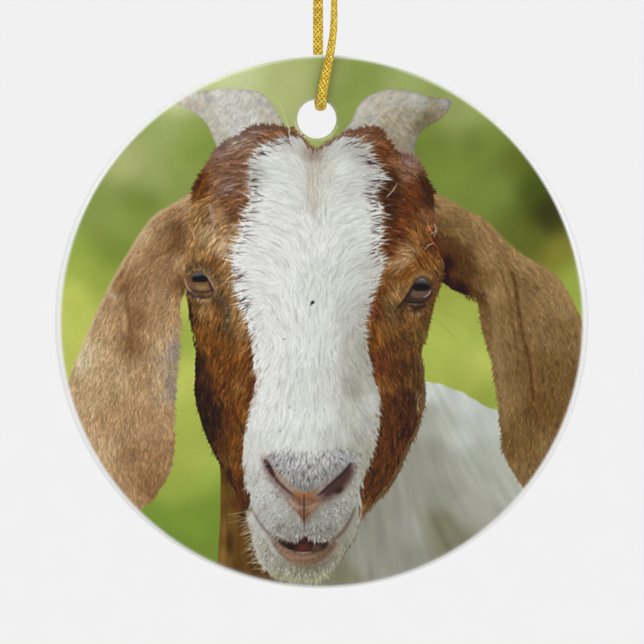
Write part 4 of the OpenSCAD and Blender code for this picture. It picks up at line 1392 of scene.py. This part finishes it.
def paint_chin():
    """Fuzz on the chin and the whiskers along its edges."""
    chin = area([
        (-9, -30), (-8.2, -33), (-7, -34.8), (-5, -36), (-2, -36.4), (0, -35.9), (1.5, -34.4), (3.4, -31.6),
        (4.9, -28), (3.6, -30.2), (2.2, -32.4), (0.4, -33.9), (-2, -34.3), (-4.6, -33.7), (-6.6, -32),
        (-7.8, -29.6),
    ], 0.35)
    fuzz(chin, 1300, CHIN_LIE, (0.3, 0.9), ((196, 196, 182), (178, 178, 160), (208, 207, 194)), 92, 0.15)
    fuzz(chin, 1000, CHIN_LIE, (0.3, 0.8), ((84, 80, 66), (104, 100, 84), (122, 118, 98)), 93, 0.11)
    tuft = area([
        (-7.4, -34), (-5, -34.8), (-2.4, -35.1), (0, -34.8), (1.4, -33.8), (0.6, -35.6), (-2, -36.4),
        (-5.4, -36.2),
    ], 0.2)
    fuzz(tuft, 420, CHIN_LIE, (0.5, 1.3), ((190, 190, 164), (160, 160, 126), (110, 106, 84)), 94, 0.26)
    lips = area([
        (-7.8, -29.8), (-6.8, -31.8), (-4.8, -33.4), (-2, -34.1), (0.4, -33.6), (2.6, -31.2), (3.6, -31),
        (1, -34.4), (-2, -35), (-5.4, -34), (-7.8, -31.8),
    ], 0.2)
    fuzz(lips, 420, CHIN_LIE, (0.25, 0.6), ((176, 170, 156), (150, 140, 124), (84, 74, 64)), 95, 0.2)
    edge = [(-10.2, -27.2), (-9.7, -29), (-9.3, -31), (-8.7, -33), (-7.8, -34.6)]
    lie = np.full((SIDE, SIDE), math.radians(205))
    fringe(edge, 46, -1, (0, 0.2), (0.9, 2.4), (176, 168, 150), lie, 96, lean=0.3, strength=0.5, width=0.05)
    fringe(
        edge, 220, -1, (0, 0.4), (0.25, 0.7), (176, 172, 160), lie, 97, lean=0.4, strength=0.5, width=0.07,
    )
    for x, z, dx, dz in ((-10.6, -26.4, -2.6, -0.4), (-10.2, -27.4, -2.4, 0.5), (-10, -26.9, -3, -1.1)):
        stroke([
            (x, z), (x + 0.5 * dx, z + 0.6 * dz), (x + dx, z + dz),
        ], (0.1, 0.08, 0.04), (184, 168, 136), 0.6, 0.05)
    patch([
        (-10.5, -26.2), (-9.8, -26.4), (-9.5, -27.6), (-9.9, -28), (-10.4, -27.4),
    ], (196, 194, 182), 0.16, 0.8)
    stroke([
        (5.2, -24), (5.5, -25.6), (5.4, -27), (5.0, -28),
    ], (0.2, 0.3, 0.36, 0.16), (200, 197, 184), 0.6, 0.14)
    stroke([(5.7, -26.4), (6.1, -27.6)], (0.6, 0.2), (112, 70, 46), 0.4, 0.24)


def paint_left_eye():
    """A half-closed eye with a dark level pupil, and the tear line below it."""
    socket = [(-19, 5.8), (-18.2, 6.6), (-17.4, 7.1), (-16.4, 6.9), (-15.6, 6.1), (-15, 5.1), (-14.6, 4.2),
              (-15.8, 3.9), (-17, 3.9), (-18.1, 4.3), (-18.7, 5)]
    patch(socket, (104, 74, 58), 0.24, 0.75)
    patch([(-17.9, 6.3), (-17.6, 6.9), (-17, 7.15), (-16.4, 6.8), (-16, 6.3)], (82, 86, 88), 0.16, 0.8)
    patch([
        (-17.95, 5.5), (-15.9, 5.5), (-15.7, 4.9), (-16.1, 4.4), (-16.9, 4.3), (-17.6, 4.6),
    ], (112, 88, 58), 0.12, 0.95)
    patch([(-17.5, 5), (-15.95, 5), (-15.9, 4.65), (-16.6, 4.4), (-17.3, 4.6)], (152, 122, 78), 0.15, 0.8)
    pupil = [
        (-18, 5.9), (-17.85, 6.25), (-17, 6.35), (-16.15, 6.3), (-15.85, 5.9), (-15.95, 5.6), (-16.9, 5.5),
        (-17.8, 5.55),
    ]
    patch(pupil, (12, 13, 18), 0.1, 0.97)
    stroke([(-18.6, 5.7), (-18.3, 5), (-17.8, 4.4)], (0.2, 0.35, 0.3), (138, 98, 80), 0.6, 0.14)
    stroke([
        (-18.3, 4.7), (-17.7, 4.25), (-16.9, 4.1), (-15.9, 4.15), (-15.1, 4.4),
    ], (0.2, 0.3, 0.26, 0.26, 0.3), (68, 46, 50), 0.85, 0.12)
    stroke([(-15.8, 5.9), (-15.5, 5.1), (-15.1, 4.4)], (0.12, 0.34, 0.34), (62, 40, 44), 0.85, 0.12)
    stroke([
        (-19, 5.9), (-18.8, 5.1), (-18.3, 4.3), (-17.6, 3.6),
    ], (0.15, 0.26, 0.3, 0.2), (184, 154, 124), 0.7, 0.12)
    stroke([
        (-16.3, 6.85), (-15.7, 6.1), (-15.2, 5.2), (-14.8, 4.4),
    ], (0.1, 0.2, 0.2, 0.1), (184, 166, 130), 0.65, 0.11)
    stroke([(-17.6, 3.6), (-16.6, 3.35), (-15.6, 3.5)], (0.15, 0.34, 0.15), (72, 58, 50), 0.6, 0.16)
    tear = [
        (-14.8, 4.2), (-14.2, 3.4), (-13.6, 2.6), (-13.2, 1.8), (-13, 0.9), (-13.2, -0.2), (-13.5, -1.2),
    ]
    stroke(tear, (0.3, 0.4, 0.5, 0.5, 0.45, 0.4, 0.2), (84, 72, 62), 0.4, 0.3)
    tufts = flow([(-14.5, 4, 300), (-13.4, 2, 290), (-13, 1, 265), (-13.4, -1, 235)])
    fringe(
        tear, 150, -1, (-0.3, 0.4), (0.25, 0.7), (60, 52, 46), tufts, 111, lean=0.7, strength=0.22,
        width=0.05,
    )
    fringe(
        tear, 70, 1, (-0.2, 0.2), (0.25, 0.6), (150, 128, 100), tufts, 112, lean=0.7, strength=0.18,
        width=0.05,
    )
    brow = [(-18.8, 6.4), (-17.6, 7.2), (-16.2, 7.1), (-15.3, 6.2), (-14.6, 5)]
    rays = flow([(-18.5, 7, 130), (-17, 7.6, 100), (-15.6, 7, 65), (-14.6, 5.6, 40)])
    fringe(
        brow, 160, 1, (-0.1, 0.2), (0.4, 1.1), (142, 110, 70), rays, 101, lean=0.35, strength=0.36,
        width=0.06,
    )
    fringe(
        brow, 110, 1, (-0.4, 0.1), (0.5, 1.5), (84, 66, 48), rays, 102, lean=0.4, strength=0.28, width=0.05,
    )
    fringe(
        [(-18.6, 4.2), (-17.4, 3.5), (-16.2, 3.4), (-15.2, 3.6)], 110, -1, (-0.2, 0.3), (0.3, 0.8),
        (70, 58, 48), flow([(-17, 3, 262)]), 103, lean=0.5, strength=0.32, width=0.05,
    )
    fringe(
        [(-17.6, 3.2), (-16.4, 2.9), (-15.2, 3.1)], 90, -1, (0, 0.3), (0.3, 0.8), (158, 132, 98),
        flow([(-16, 3, 265)]), 113, lean=0.4, strength=0.14, width=0.06,
    )


def paint_right_eye():
    """The other eye, narrower and darker, with a bright crescent on it."""
    socket = [
        (10.6, 1.7), (11.2, 2.5), (11.9, 3.7), (12.4, 4.7), (12.9, 5.5), (13.5, 6.1), (14.2, 6.2),
        (15, 5.7), (15.4, 4.9), (15.3, 3.9), (14.7, 3), (13.6, 2.4), (12.3, 2.2), (11.3, 1.9),
    ]
    patch(socket, (60, 44, 36), 0.2, 0.92)
    patch([
        (12.4, 3.6), (12.5, 4.2), (13.2, 4.4), (14.2, 4.35), (14.95, 4.3), (14.7, 3.6), (14, 3.25),
        (13, 3.25),
    ], (100, 78, 63), 0.14, 0.92)
    patch([(13, 5.2), (13.3, 5.9), (13.9, 6.1), (14.5, 5.8), (14.9, 5.1)], (78, 84, 84), 0.18, 0.75)
    stroke([(13.5, 5.75), (14, 5.9), (14.3, 5.7)], (0.1, 0.26, 0.1), (134, 138, 137), 0.6, 0.1)
    patch([
        (12.7, 4.7), (13.1, 5.2), (13.8, 5.3), (14.6, 5.2), (15, 4.8), (14.7, 4.4), (13.9, 4.3),
        (13.1, 4.35),
    ], (14, 13, 15), 0.11, 0.97)
    stroke([(14.2, 3.4), (14.8, 3.75), (15.1, 4.35)], (0.1, 0.18, 0.1), (184, 174, 166), 0.75, 0.09)
    stroke([
        (11.6, 3.0), (12.6, 3.0), (13.6, 2.95), (14.6, 3.1), (15.3, 3.9),
    ], (0.4, 0.6, 0.55, 0.5, 0.3), (62, 46, 41), 0.85, 0.16)
    stroke([
        (13, 5.3), (12.4, 4.4), (11.9, 3.6), (10.9, 2.3), (10.1, 1.3),
    ], (0.2, 0.32, 0.34, 0.26, 0.15), (40, 30, 26), 0.8, 0.12)
    stroke([
        (11.4, 2.9), (12.4, 2.65), (13.6, 2.6), (14.5, 2.8),
    ], (0.15, 0.24, 0.24, 0.12), (36, 26, 22), 0.8, 0.1)
    stroke([(11.9, 2.5), (12.7, 2.4), (13.3, 2.45)], (0.06, 0.12, 0.06), (150, 140, 134), 0.5, 0.08)
    stroke([(10.5, 2.4), (11.2, 3.2), (11.8, 4.1)], (0.2, 0.34, 0.2), (128, 98, 64), 0.4, 0.16)
    stroke([
        (11.8, 1.6), (12.8, 1.7), (13.8, 2.0), (14.6, 2.4),
    ], (0.2, 0.4, 0.5, 0.3), (66, 50, 38), 0.5, 0.24)
    stroke([(12.4, 2.15), (13.2, 1.85), (14.3, 2.25)], (0.35, 0.6, 0.35), (42, 32, 27), 0.7, 0.16)
    stroke([(13, 1.8), (13.2, 1.4)], 0.36, (50, 38, 31), 0.55, 0.14)
    stroke([(11.9, 2.1), (12.2, 1.5), (12.5, 1.1)], (0.15, 0.3, 0.15), (172, 142, 101), 0.45, 0.14)
    stroke([(13.5, 1.35), (13.6, 0.9)], 0.26, (180, 156, 118), 0.45, 0.14)
    stroke([(12.2, 1.0), (13.2, 0.8), (14, 1.1)], (0.2, 0.5, 0.3), (156, 130, 94), 0.4, 0.28)
    fringe(
        [(11.8, 1.7), (12.8, 1.6), (14, 1.9)], 50, -1, (-0.1, 0.1), (0.3, 0.8), (64, 48, 34),
        flow([(13, 1, 265)]), 104, normal_share=0.5, lean=0.5, strength=0.2, width=0.06,
    )
    fringe(
        [(12, 4.2), (12.8, 5.8), (14.2, 6.5), (15.3, 5.9)], 110, 1, (-0.1, 0.1), (0.4, 1.0), (132, 102, 64),
        flow([(13, 6, 100)]), 105, normal_share=0.6, lean=0.4, strength=0.3, width=0.07,
    )
    stroke([(10.6, 1.6), (10.2, 0.4), (9.6, -1)], (0.4, 0.5, 0.2), (96, 84, 60), 0.4, 0.3)


def paint_strays():
    """Pale stray hairs, whiskers and small dark spots."""
    for line, width, colour, most in (
        ([(-5.8, 30.3), (-5.1, 28.3), (-4.4, 26.4)], (0.06, 0.14, 0.14), (196, 202, 150), 0.85),
        ([(-4.6, 26.5), (-4.2, 24.9), (-3.4, 23.4)], (0.14, 0.2, 0.16), (206, 198, 188), 0.8),
        ([(9, 17.3), (9.8, 18.1), (10.5, 19.2)], (0.1, 0.18, 0.08), (182, 166, 150), 0.8),
        ([(15.2, 12.2), (15.9, 12.7), (15.6, 13.6)], (0.14, 0.2, 0.1), (196, 180, 158), 0.7),
        ([(16.1, 12.6), (15.6, 11.9)], (0.1, 0.16), (196, 180, 158), 0.6),
        ([(14.3, 10), (14.8, 10.6), (15.6, 10.9)], (0.1, 0.16, 0.08), (186, 168, 138), 0.7),
        ([(-15.6, 16.2), (-15.2, 15), (-14.9, 13.4)], (0.5, 0.7, 0.3), (176, 154, 138), 0.5),
        ([(-14, 11.8), (-13.6, 10.4), (-13.2, 9.2)], (0.3, 0.7, 0.3), (190, 168, 140), 0.45),
        ([(-18.2, 13), (-17.8, 12.1), (-17.6, 11.4)], (0.1, 0.18, 0.08), (206, 180, 146), 0.7),
        ([(15.3, 0.6), (17.5, -1.2), (19.6, -3.6)], (0.08, 0.1, 0.05), (126, 140, 66), 0.45),
        ([(15.6, 1.8), (18.5, 0.6), (20.4, -0.8)], (0.08, 0.1, 0.05), (126, 140, 66), 0.4),
        ([(12.3, 2.4), (11, 1.1), (10.2, 0.2)], (0.1, 0.16, 0.1), (60, 46, 34), 0.5),
    ):
        stroke(line, width, colour, most, 0.06)
    for x, z, size, most in (
        (-1.3, 2.6, 0.44, 0.95), (-1.55, 2.25, 0.2, 0.5), (-5.2, -2.5, 0.14, 0.5), (-4.5, -12, 0.26, 0.22),
        (-5.8, -15.2, 0.26, 0.2),
    ):
        stroke([(x - 0.05, z), (x + 0.1, z + 0.1)], size, (52, 40, 48), most, 0.12)


def sharpen(amount, reach):
    """A last sharpening, as a printer gives it."""
    for channel in range(3):
        PRINT[..., channel] += amount * (PRINT[..., channel] - blur(PRINT[..., channel], reach))


# ---------------------------------------------------------------------------
# The printed face: a fine sheet over the front of the disc, in the print's colours
# ---------------------------------------------------------------------------
GRID = 0.115
PAPER = (242, 242, 241)
# The print is drawn a little larger than the disc, which shows a bare rim round it
PRINT_SCALE = 0.984
FADE_START, FADE_END = 35.62, 36.2
FADE_WIDE, FADE_TALL = 0.993, 1.007
# What the gloss adds at the face, taken off so that the print shows in its own colours
FACE_GLOSS = 0.012


def face_grid():
    """A square grid over the flat of the face, with its outer and hole edges snapped to circles."""
    flat = DISC_RADIUS - RIM_ROUND
    hole = HOLE_RADIUS + HOLE_ROUND
    half = int(flat / GRID) + 2
    axis = np.arange(-half, half + 1) * GRID
    x, z = np.meshgrid(axis, axis)
    size = len(axis)
    inside = (np.hypot(x, z) < flat - 0.35 * GRID) & (np.hypot(x - HOLE_X, z - HOLE_Z) > hole + 0.35 * GRID)
    corner = np.arange(size * size).reshape(size, size)
    quads = np.stack([
        corner[:-1, :-1], corner[:-1, 1:], corner[1:, 1:], corner[1:, :-1],
    ], -1).reshape(-1, 4)
    quads = quads[inside.ravel()[quads].all(1)]
    # the border is made of the edges that only one quad has
    edges = np.concatenate([quads[:, [k, (k + 1) % 4]] for k in range(4)])
    keys = np.sort(edges, 1)
    _, where, counts = np.unique(
        keys[:, 0] * size * size + keys[:, 1], return_index=True, return_counts=True,
    )
    border = edges[where[counts == 1]]
    used = np.unique(quads)
    number = np.full(size * size, -1)
    number[used] = np.arange(len(used))
    points = np.stack([x.ravel()[used], np.full(len(used), FACE_Y), z.ravel()[used]], -1)
    quads, border = number[quads], number[border]
    middle = points[border].mean(1)
    at_hole = np.hypot(middle[:, 0] - HOLE_X, middle[:, 2] - HOLE_Z) < hole + 1
    for loop, cx, cz, radius in ((border[~at_hole], 0, 0, flat), (border[at_hole], HOLE_X, HOLE_Z, hole)):
        ring = np.unique(loop)
        away = np.hypot(points[ring, 0] - cx, points[ring, 2] - cz)
        points[ring, 0] = cx + (points[ring, 0] - cx) * radius / away
        points[ring, 2] = cz + (points[ring, 2] - cz) * radius / away
    return points, quads.tolist(), border[~at_hole], border[at_hole]


def roll_edge(points, quads, border, cx, cz, flat, reach, radius, angles):
    """Adds rings that carry an edge of the sheet round a quarter-round corner."""
    ring = np.unique(border)
    number = {int(k): i for i, k in enumerate(ring)}
    away = points[ring][:, [0, 2]] - (cx, cz)
    away /= np.hypot(away[:, 0], away[:, 1])[:, None]
    previous = ring
    start = len(points)
    rows = [points]
    for step_number, angle in enumerate(angles):
        a = math.radians(angle)
        r = flat + reach * (radius * math.sin(a) + (0.035 if angle > 38 else 0))
        y = FACE_Y + radius * (1 - math.cos(a))
        rows.append(np.stack([cx + r * away[:, 0], np.full(len(ring), y), cz + r * away[:, 1]], -1))
        current = start + step_number * len(ring) + np.arange(len(ring))
        for first, second in border:
            i, k = number[int(first)], number[int(second)]
            quads.append([int(previous[k]), int(previous[i]), int(current[i]), int(current[k])])
        previous = current
    return np.vstack(rows), quads


def print_colours(points):
    """The print's colour at each vertex, as linear light, fading to white glaze at the edges."""
    col = np.clip((points[:, 0] / PRINT_SCALE + HALF) / CELL - 0.5, 0, SIDE - 1.001)
    row = np.clip((points[:, 2] / PRINT_SCALE + HALF) / CELL - 0.5, 0, SIDE - 1.001)
    c0, r0 = col.astype(int), row.astype(int)
    fc, fr = (col - c0)[:, None], (row - r0)[:, None]
    colour = PRINT[r0, c0] * (1 - fc) * (1 - fr) + PRINT[r0, c0 + 1] * fc * (1 - fr)
    colour += PRINT[r0 + 1, c0] * (1 - fc) * fr + PRINT[r0 + 1, c0 + 1] * fc * fr
    colour = linear(np.clip(colour, 0, 255))
    rim = step(np.hypot(points[:, 0] / FADE_WIDE, points[:, 2] / FADE_TALL), FADE_START, FADE_END)
    hole = 1 - step(
        np.hypot(points[:, 0] - HOLE_X, points[:, 2] - HOLE_Z), HOLE_RADIUS - 0.04, HOLE_RADIUS + 0.14,
    )
    bare = np.maximum(rim, hole)[:, None]
    colour = colour * (1 - bare) + linear(PAPER) * bare
    return np.maximum(colour - FACE_GLOSS, 0.0)


def make_printed_glaze():
    """The print under clear glaze: a slight waviness, a few pinholes and faint dots of ink."""
    material, tree, shader = new_material("printed glaze")
    ink = node(tree, "ShaderNodeVertexColor", layer_name="print")
    place = node(tree, "ShaderNodeTexCoord")
    grain = node(tree, "ShaderNodeTexNoise", Scale=5200.0, Detail=2.0, Roughness=0.6)
    tree.links.new(place.outputs["Object"], grain.inputs["Vector"])
    shade = ramp(tree, grain.outputs["Fac"], 0.3, 0.7, 0.955, 1.045)
    grey = node(tree, "ShaderNodeCombineColor")
    for k in range(3):
        tree.links.new(shade, grey.inputs[k])
    tree.links.new(
        mix(tree, "MULTIPLY", 1.0, ink.outputs["Color"], grey.outputs[0]), shader.inputs["Base Color"],
    )
    finish_glaze(tree, shader, place, 0.1, 0.17)
    return material


def finish_glaze(tree, shader, place, low, high):
    """Gloss with a slight waviness and pinholes."""
    wave = node(tree, "ShaderNodeTexNoise", Scale=90.0, Detail=3.0, Roughness=0.5)
    tree.links.new(place.outputs["Object"], wave.inputs["Vector"])
    tree.links.new(ramp(tree, wave.outputs["Fac"], 0.3, 0.7, low, high), shader.inputs["Roughness"])
    pits = node(tree, "ShaderNodeTexVoronoi", Scale=210.0)
    tree.links.new(place.outputs["Object"], pits.inputs["Vector"])
    hollow = ramp(tree, pits.outputs["Distance"], 0.0, 0.05, 0.0, 1.0)
    rise = node(tree, "ShaderNodeBump", Strength=0.25, Distance=0.0003)
    tree.links.new(wave.outputs["Fac"], rise.inputs["Height"])
    dent = node(tree, "ShaderNodeBump", Strength=0.3, Distance=0.00005)
    tree.links.new(hollow, dent.inputs["Height"])
    tree.links.new(rise.outputs["Normal"], dent.inputs["Normal"])
    tree.links.new(dent.outputs["Normal"], shader.inputs["Normal"])
    shader.inputs["IOR"].default_value = 1.5


def make_white_glaze():
    material, tree, shader = new_material("white glaze")
    place = node(tree, "ShaderNodeTexCoord")
    cloud = node(tree, "ShaderNodeTexNoise", Scale=45.0, Detail=5.0, Roughness=0.6)
    tree.links.new(place.outputs["Object"], cloud.inputs["Vector"])
    speck = node(tree, "ShaderNodeTexNoise", Scale=1300.0, Detail=1.0)
    tree.links.new(place.outputs["Object"], speck.inputs["Vector"])
    base = mix(tree, "MIX", cloud.outputs["Fac"], rgba((232, 231, 226)), rgba((242, 242, 240)))
    base = mix(
        tree, "MIX", ramp(tree, speck.outputs["Fac"], 0.74, 0.8, 0.0, 0.35), base, rgba((176, 168, 152)),
    )
    tree.links.new(base, shader.inputs["Base Color"])
    finish_glaze(tree, shader, place, 0.12, 0.24)
    return material


def make_disc():
    points, quads, outer, inner = face_grid()
    points, quads = roll_edge(
        points, quads, outer, 0, 0, DISC_RADIUS - RIM_ROUND, 1, RIM_ROUND, (12, 24, 36, 48, 60, 75, 89),
    )
    points, quads = roll_edge(
        points, quads, inner, HOLE_X, HOLE_Z, HOLE_RADIUS + HOLE_ROUND, -1, HOLE_ROUND,
        (10, 20, 30, 38, 48, 58, 68, 78),
    )
    colours = print_colours(points)
    face = add_mesh("printed_face", points + (0, 0, DISC_Z), quads, [make_printed_glaze()])
    ink = face.data.color_attributes.new("print", "FLOAT_COLOR", "POINT")
    ink.data.foreach_set("color", np.hstack([colours, np.ones((len(colours), 1))]).ravel())
    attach(face, "disc")
    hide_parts("printed_coat")
    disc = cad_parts["ceramic_disc"]
    disc.data.materials.clear()
    disc.data.materials.append(make_white_glaze())
    print("printed face:", len(points), "vertices")


paint_meadow()
paint_flank()
paint_neck()
paint_left_ear()
paint_right_ear()
paint_horns()
paint_head()
paint_blaze()
paint_nose_hair()
paint_left_nostril()
paint_right_nostril()
paint_groove()
paint_nose_edges()
paint_upper_lip()
paint_lower_lip()
paint_open_mouth()
paint_chin()
paint_left_eye()
paint_right_eye()
paint_strays()
sharpen(0.5, 0.13)
make_disc()

# ---------------------------------------------------------------------------
# Floor, backdrop and light
# ---------------------------------------------------------------------------
FLOOR_Z = -900.0
WALL_Y = 1500.0
SWEEP = 400.0
STAGE_WIDE = 6000.0
GLOW = 0.68
SKY = 0.30
SUNS = ((-38, 38, 1.42, 50), (42, 30, 1.3, 50))


def make_stage():
    """A plain pale floor that sweeps up into a backdrop."""
    profile = [(-3000.0, FLOOR_Z), (0.0, FLOOR_Z)]
    for k in range(17):
        a = math.pi / 2 * k / 16
        profile.append((WALL_Y - SWEEP + SWEEP * math.sin(a), FLOOR_Z + SWEEP - SWEEP * math.cos(a)))
    profile.append((WALL_Y, 3000.0))
    points = [(side * STAGE_WIDE / 2, y, z) for y, z in profile for side in (-1, 1)]
    faces = [[2 * k, 2 * k + 1, 2 * k + 3, 2 * k + 2] for k in range(len(profile) - 1)]
    material, tree, shader = new_material("backdrop")
    place = node(tree, "ShaderNodeTexCoord")
    grain = node(tree, "ShaderNodeTexNoise", Scale=60.0, Detail=2.0)
    tree.links.new(place.outputs["Object"], grain.inputs["Vector"])
    base = mix(tree, "MIX", grain.outputs["Fac"], rgba((118, 118, 118)), rgba((122, 122, 122)))
    tree.links.new(base, shader.inputs["Base Color"])
    shader.inputs["Emission Color"].default_value = (1, 1, 1, 1)
    shader.inputs["Emission Strength"].default_value = GLOW
    shader.inputs["Roughness"].default_value = 0.95
    shader.inputs["Specular IOR Level"].default_value = 0.0
    add_mesh("backdrop", points, faces, [material])


def add_sun(name, side, height, strength, softness):
    """A soft sun lamp that shines on the face from that many degrees to the side and above."""
    data = bpy.data.lights.new(name, "SUN")
    data.energy = strength
    data.angle = math.radians(softness)
    lamp = bpy.data.objects.new(name, data)
    a, e = math.radians(side), math.radians(height)
    heading = Vector((-math.sin(a) * math.cos(e), math.cos(a) * math.cos(e), -math.sin(e)))
    lamp.rotation_euler = heading.to_track_quat("-Z", "Y").to_euler()
    lamp.location = -heading
    bpy.context.scene.collection.objects.link(lamp)


def make_light():
    world = bpy.data.worlds.new("sky")
    bpy.context.scene.world = world
    world.use_nodes = True
    background = world.node_tree.nodes["Background"]
    background.inputs["Color"].default_value = (1, 1, 1, 1)
    background.inputs["Strength"].default_value = SKY
    for k, (side, height, strength, softness) in enumerate(SUNS):
        add_sun(f"sun_{k}", side, height, strength, softness)
    bpy.context.scene.view_settings.view_transform = "Standard"
    bpy.context.scene.view_settings.look = "None"


make_stage()
make_light()
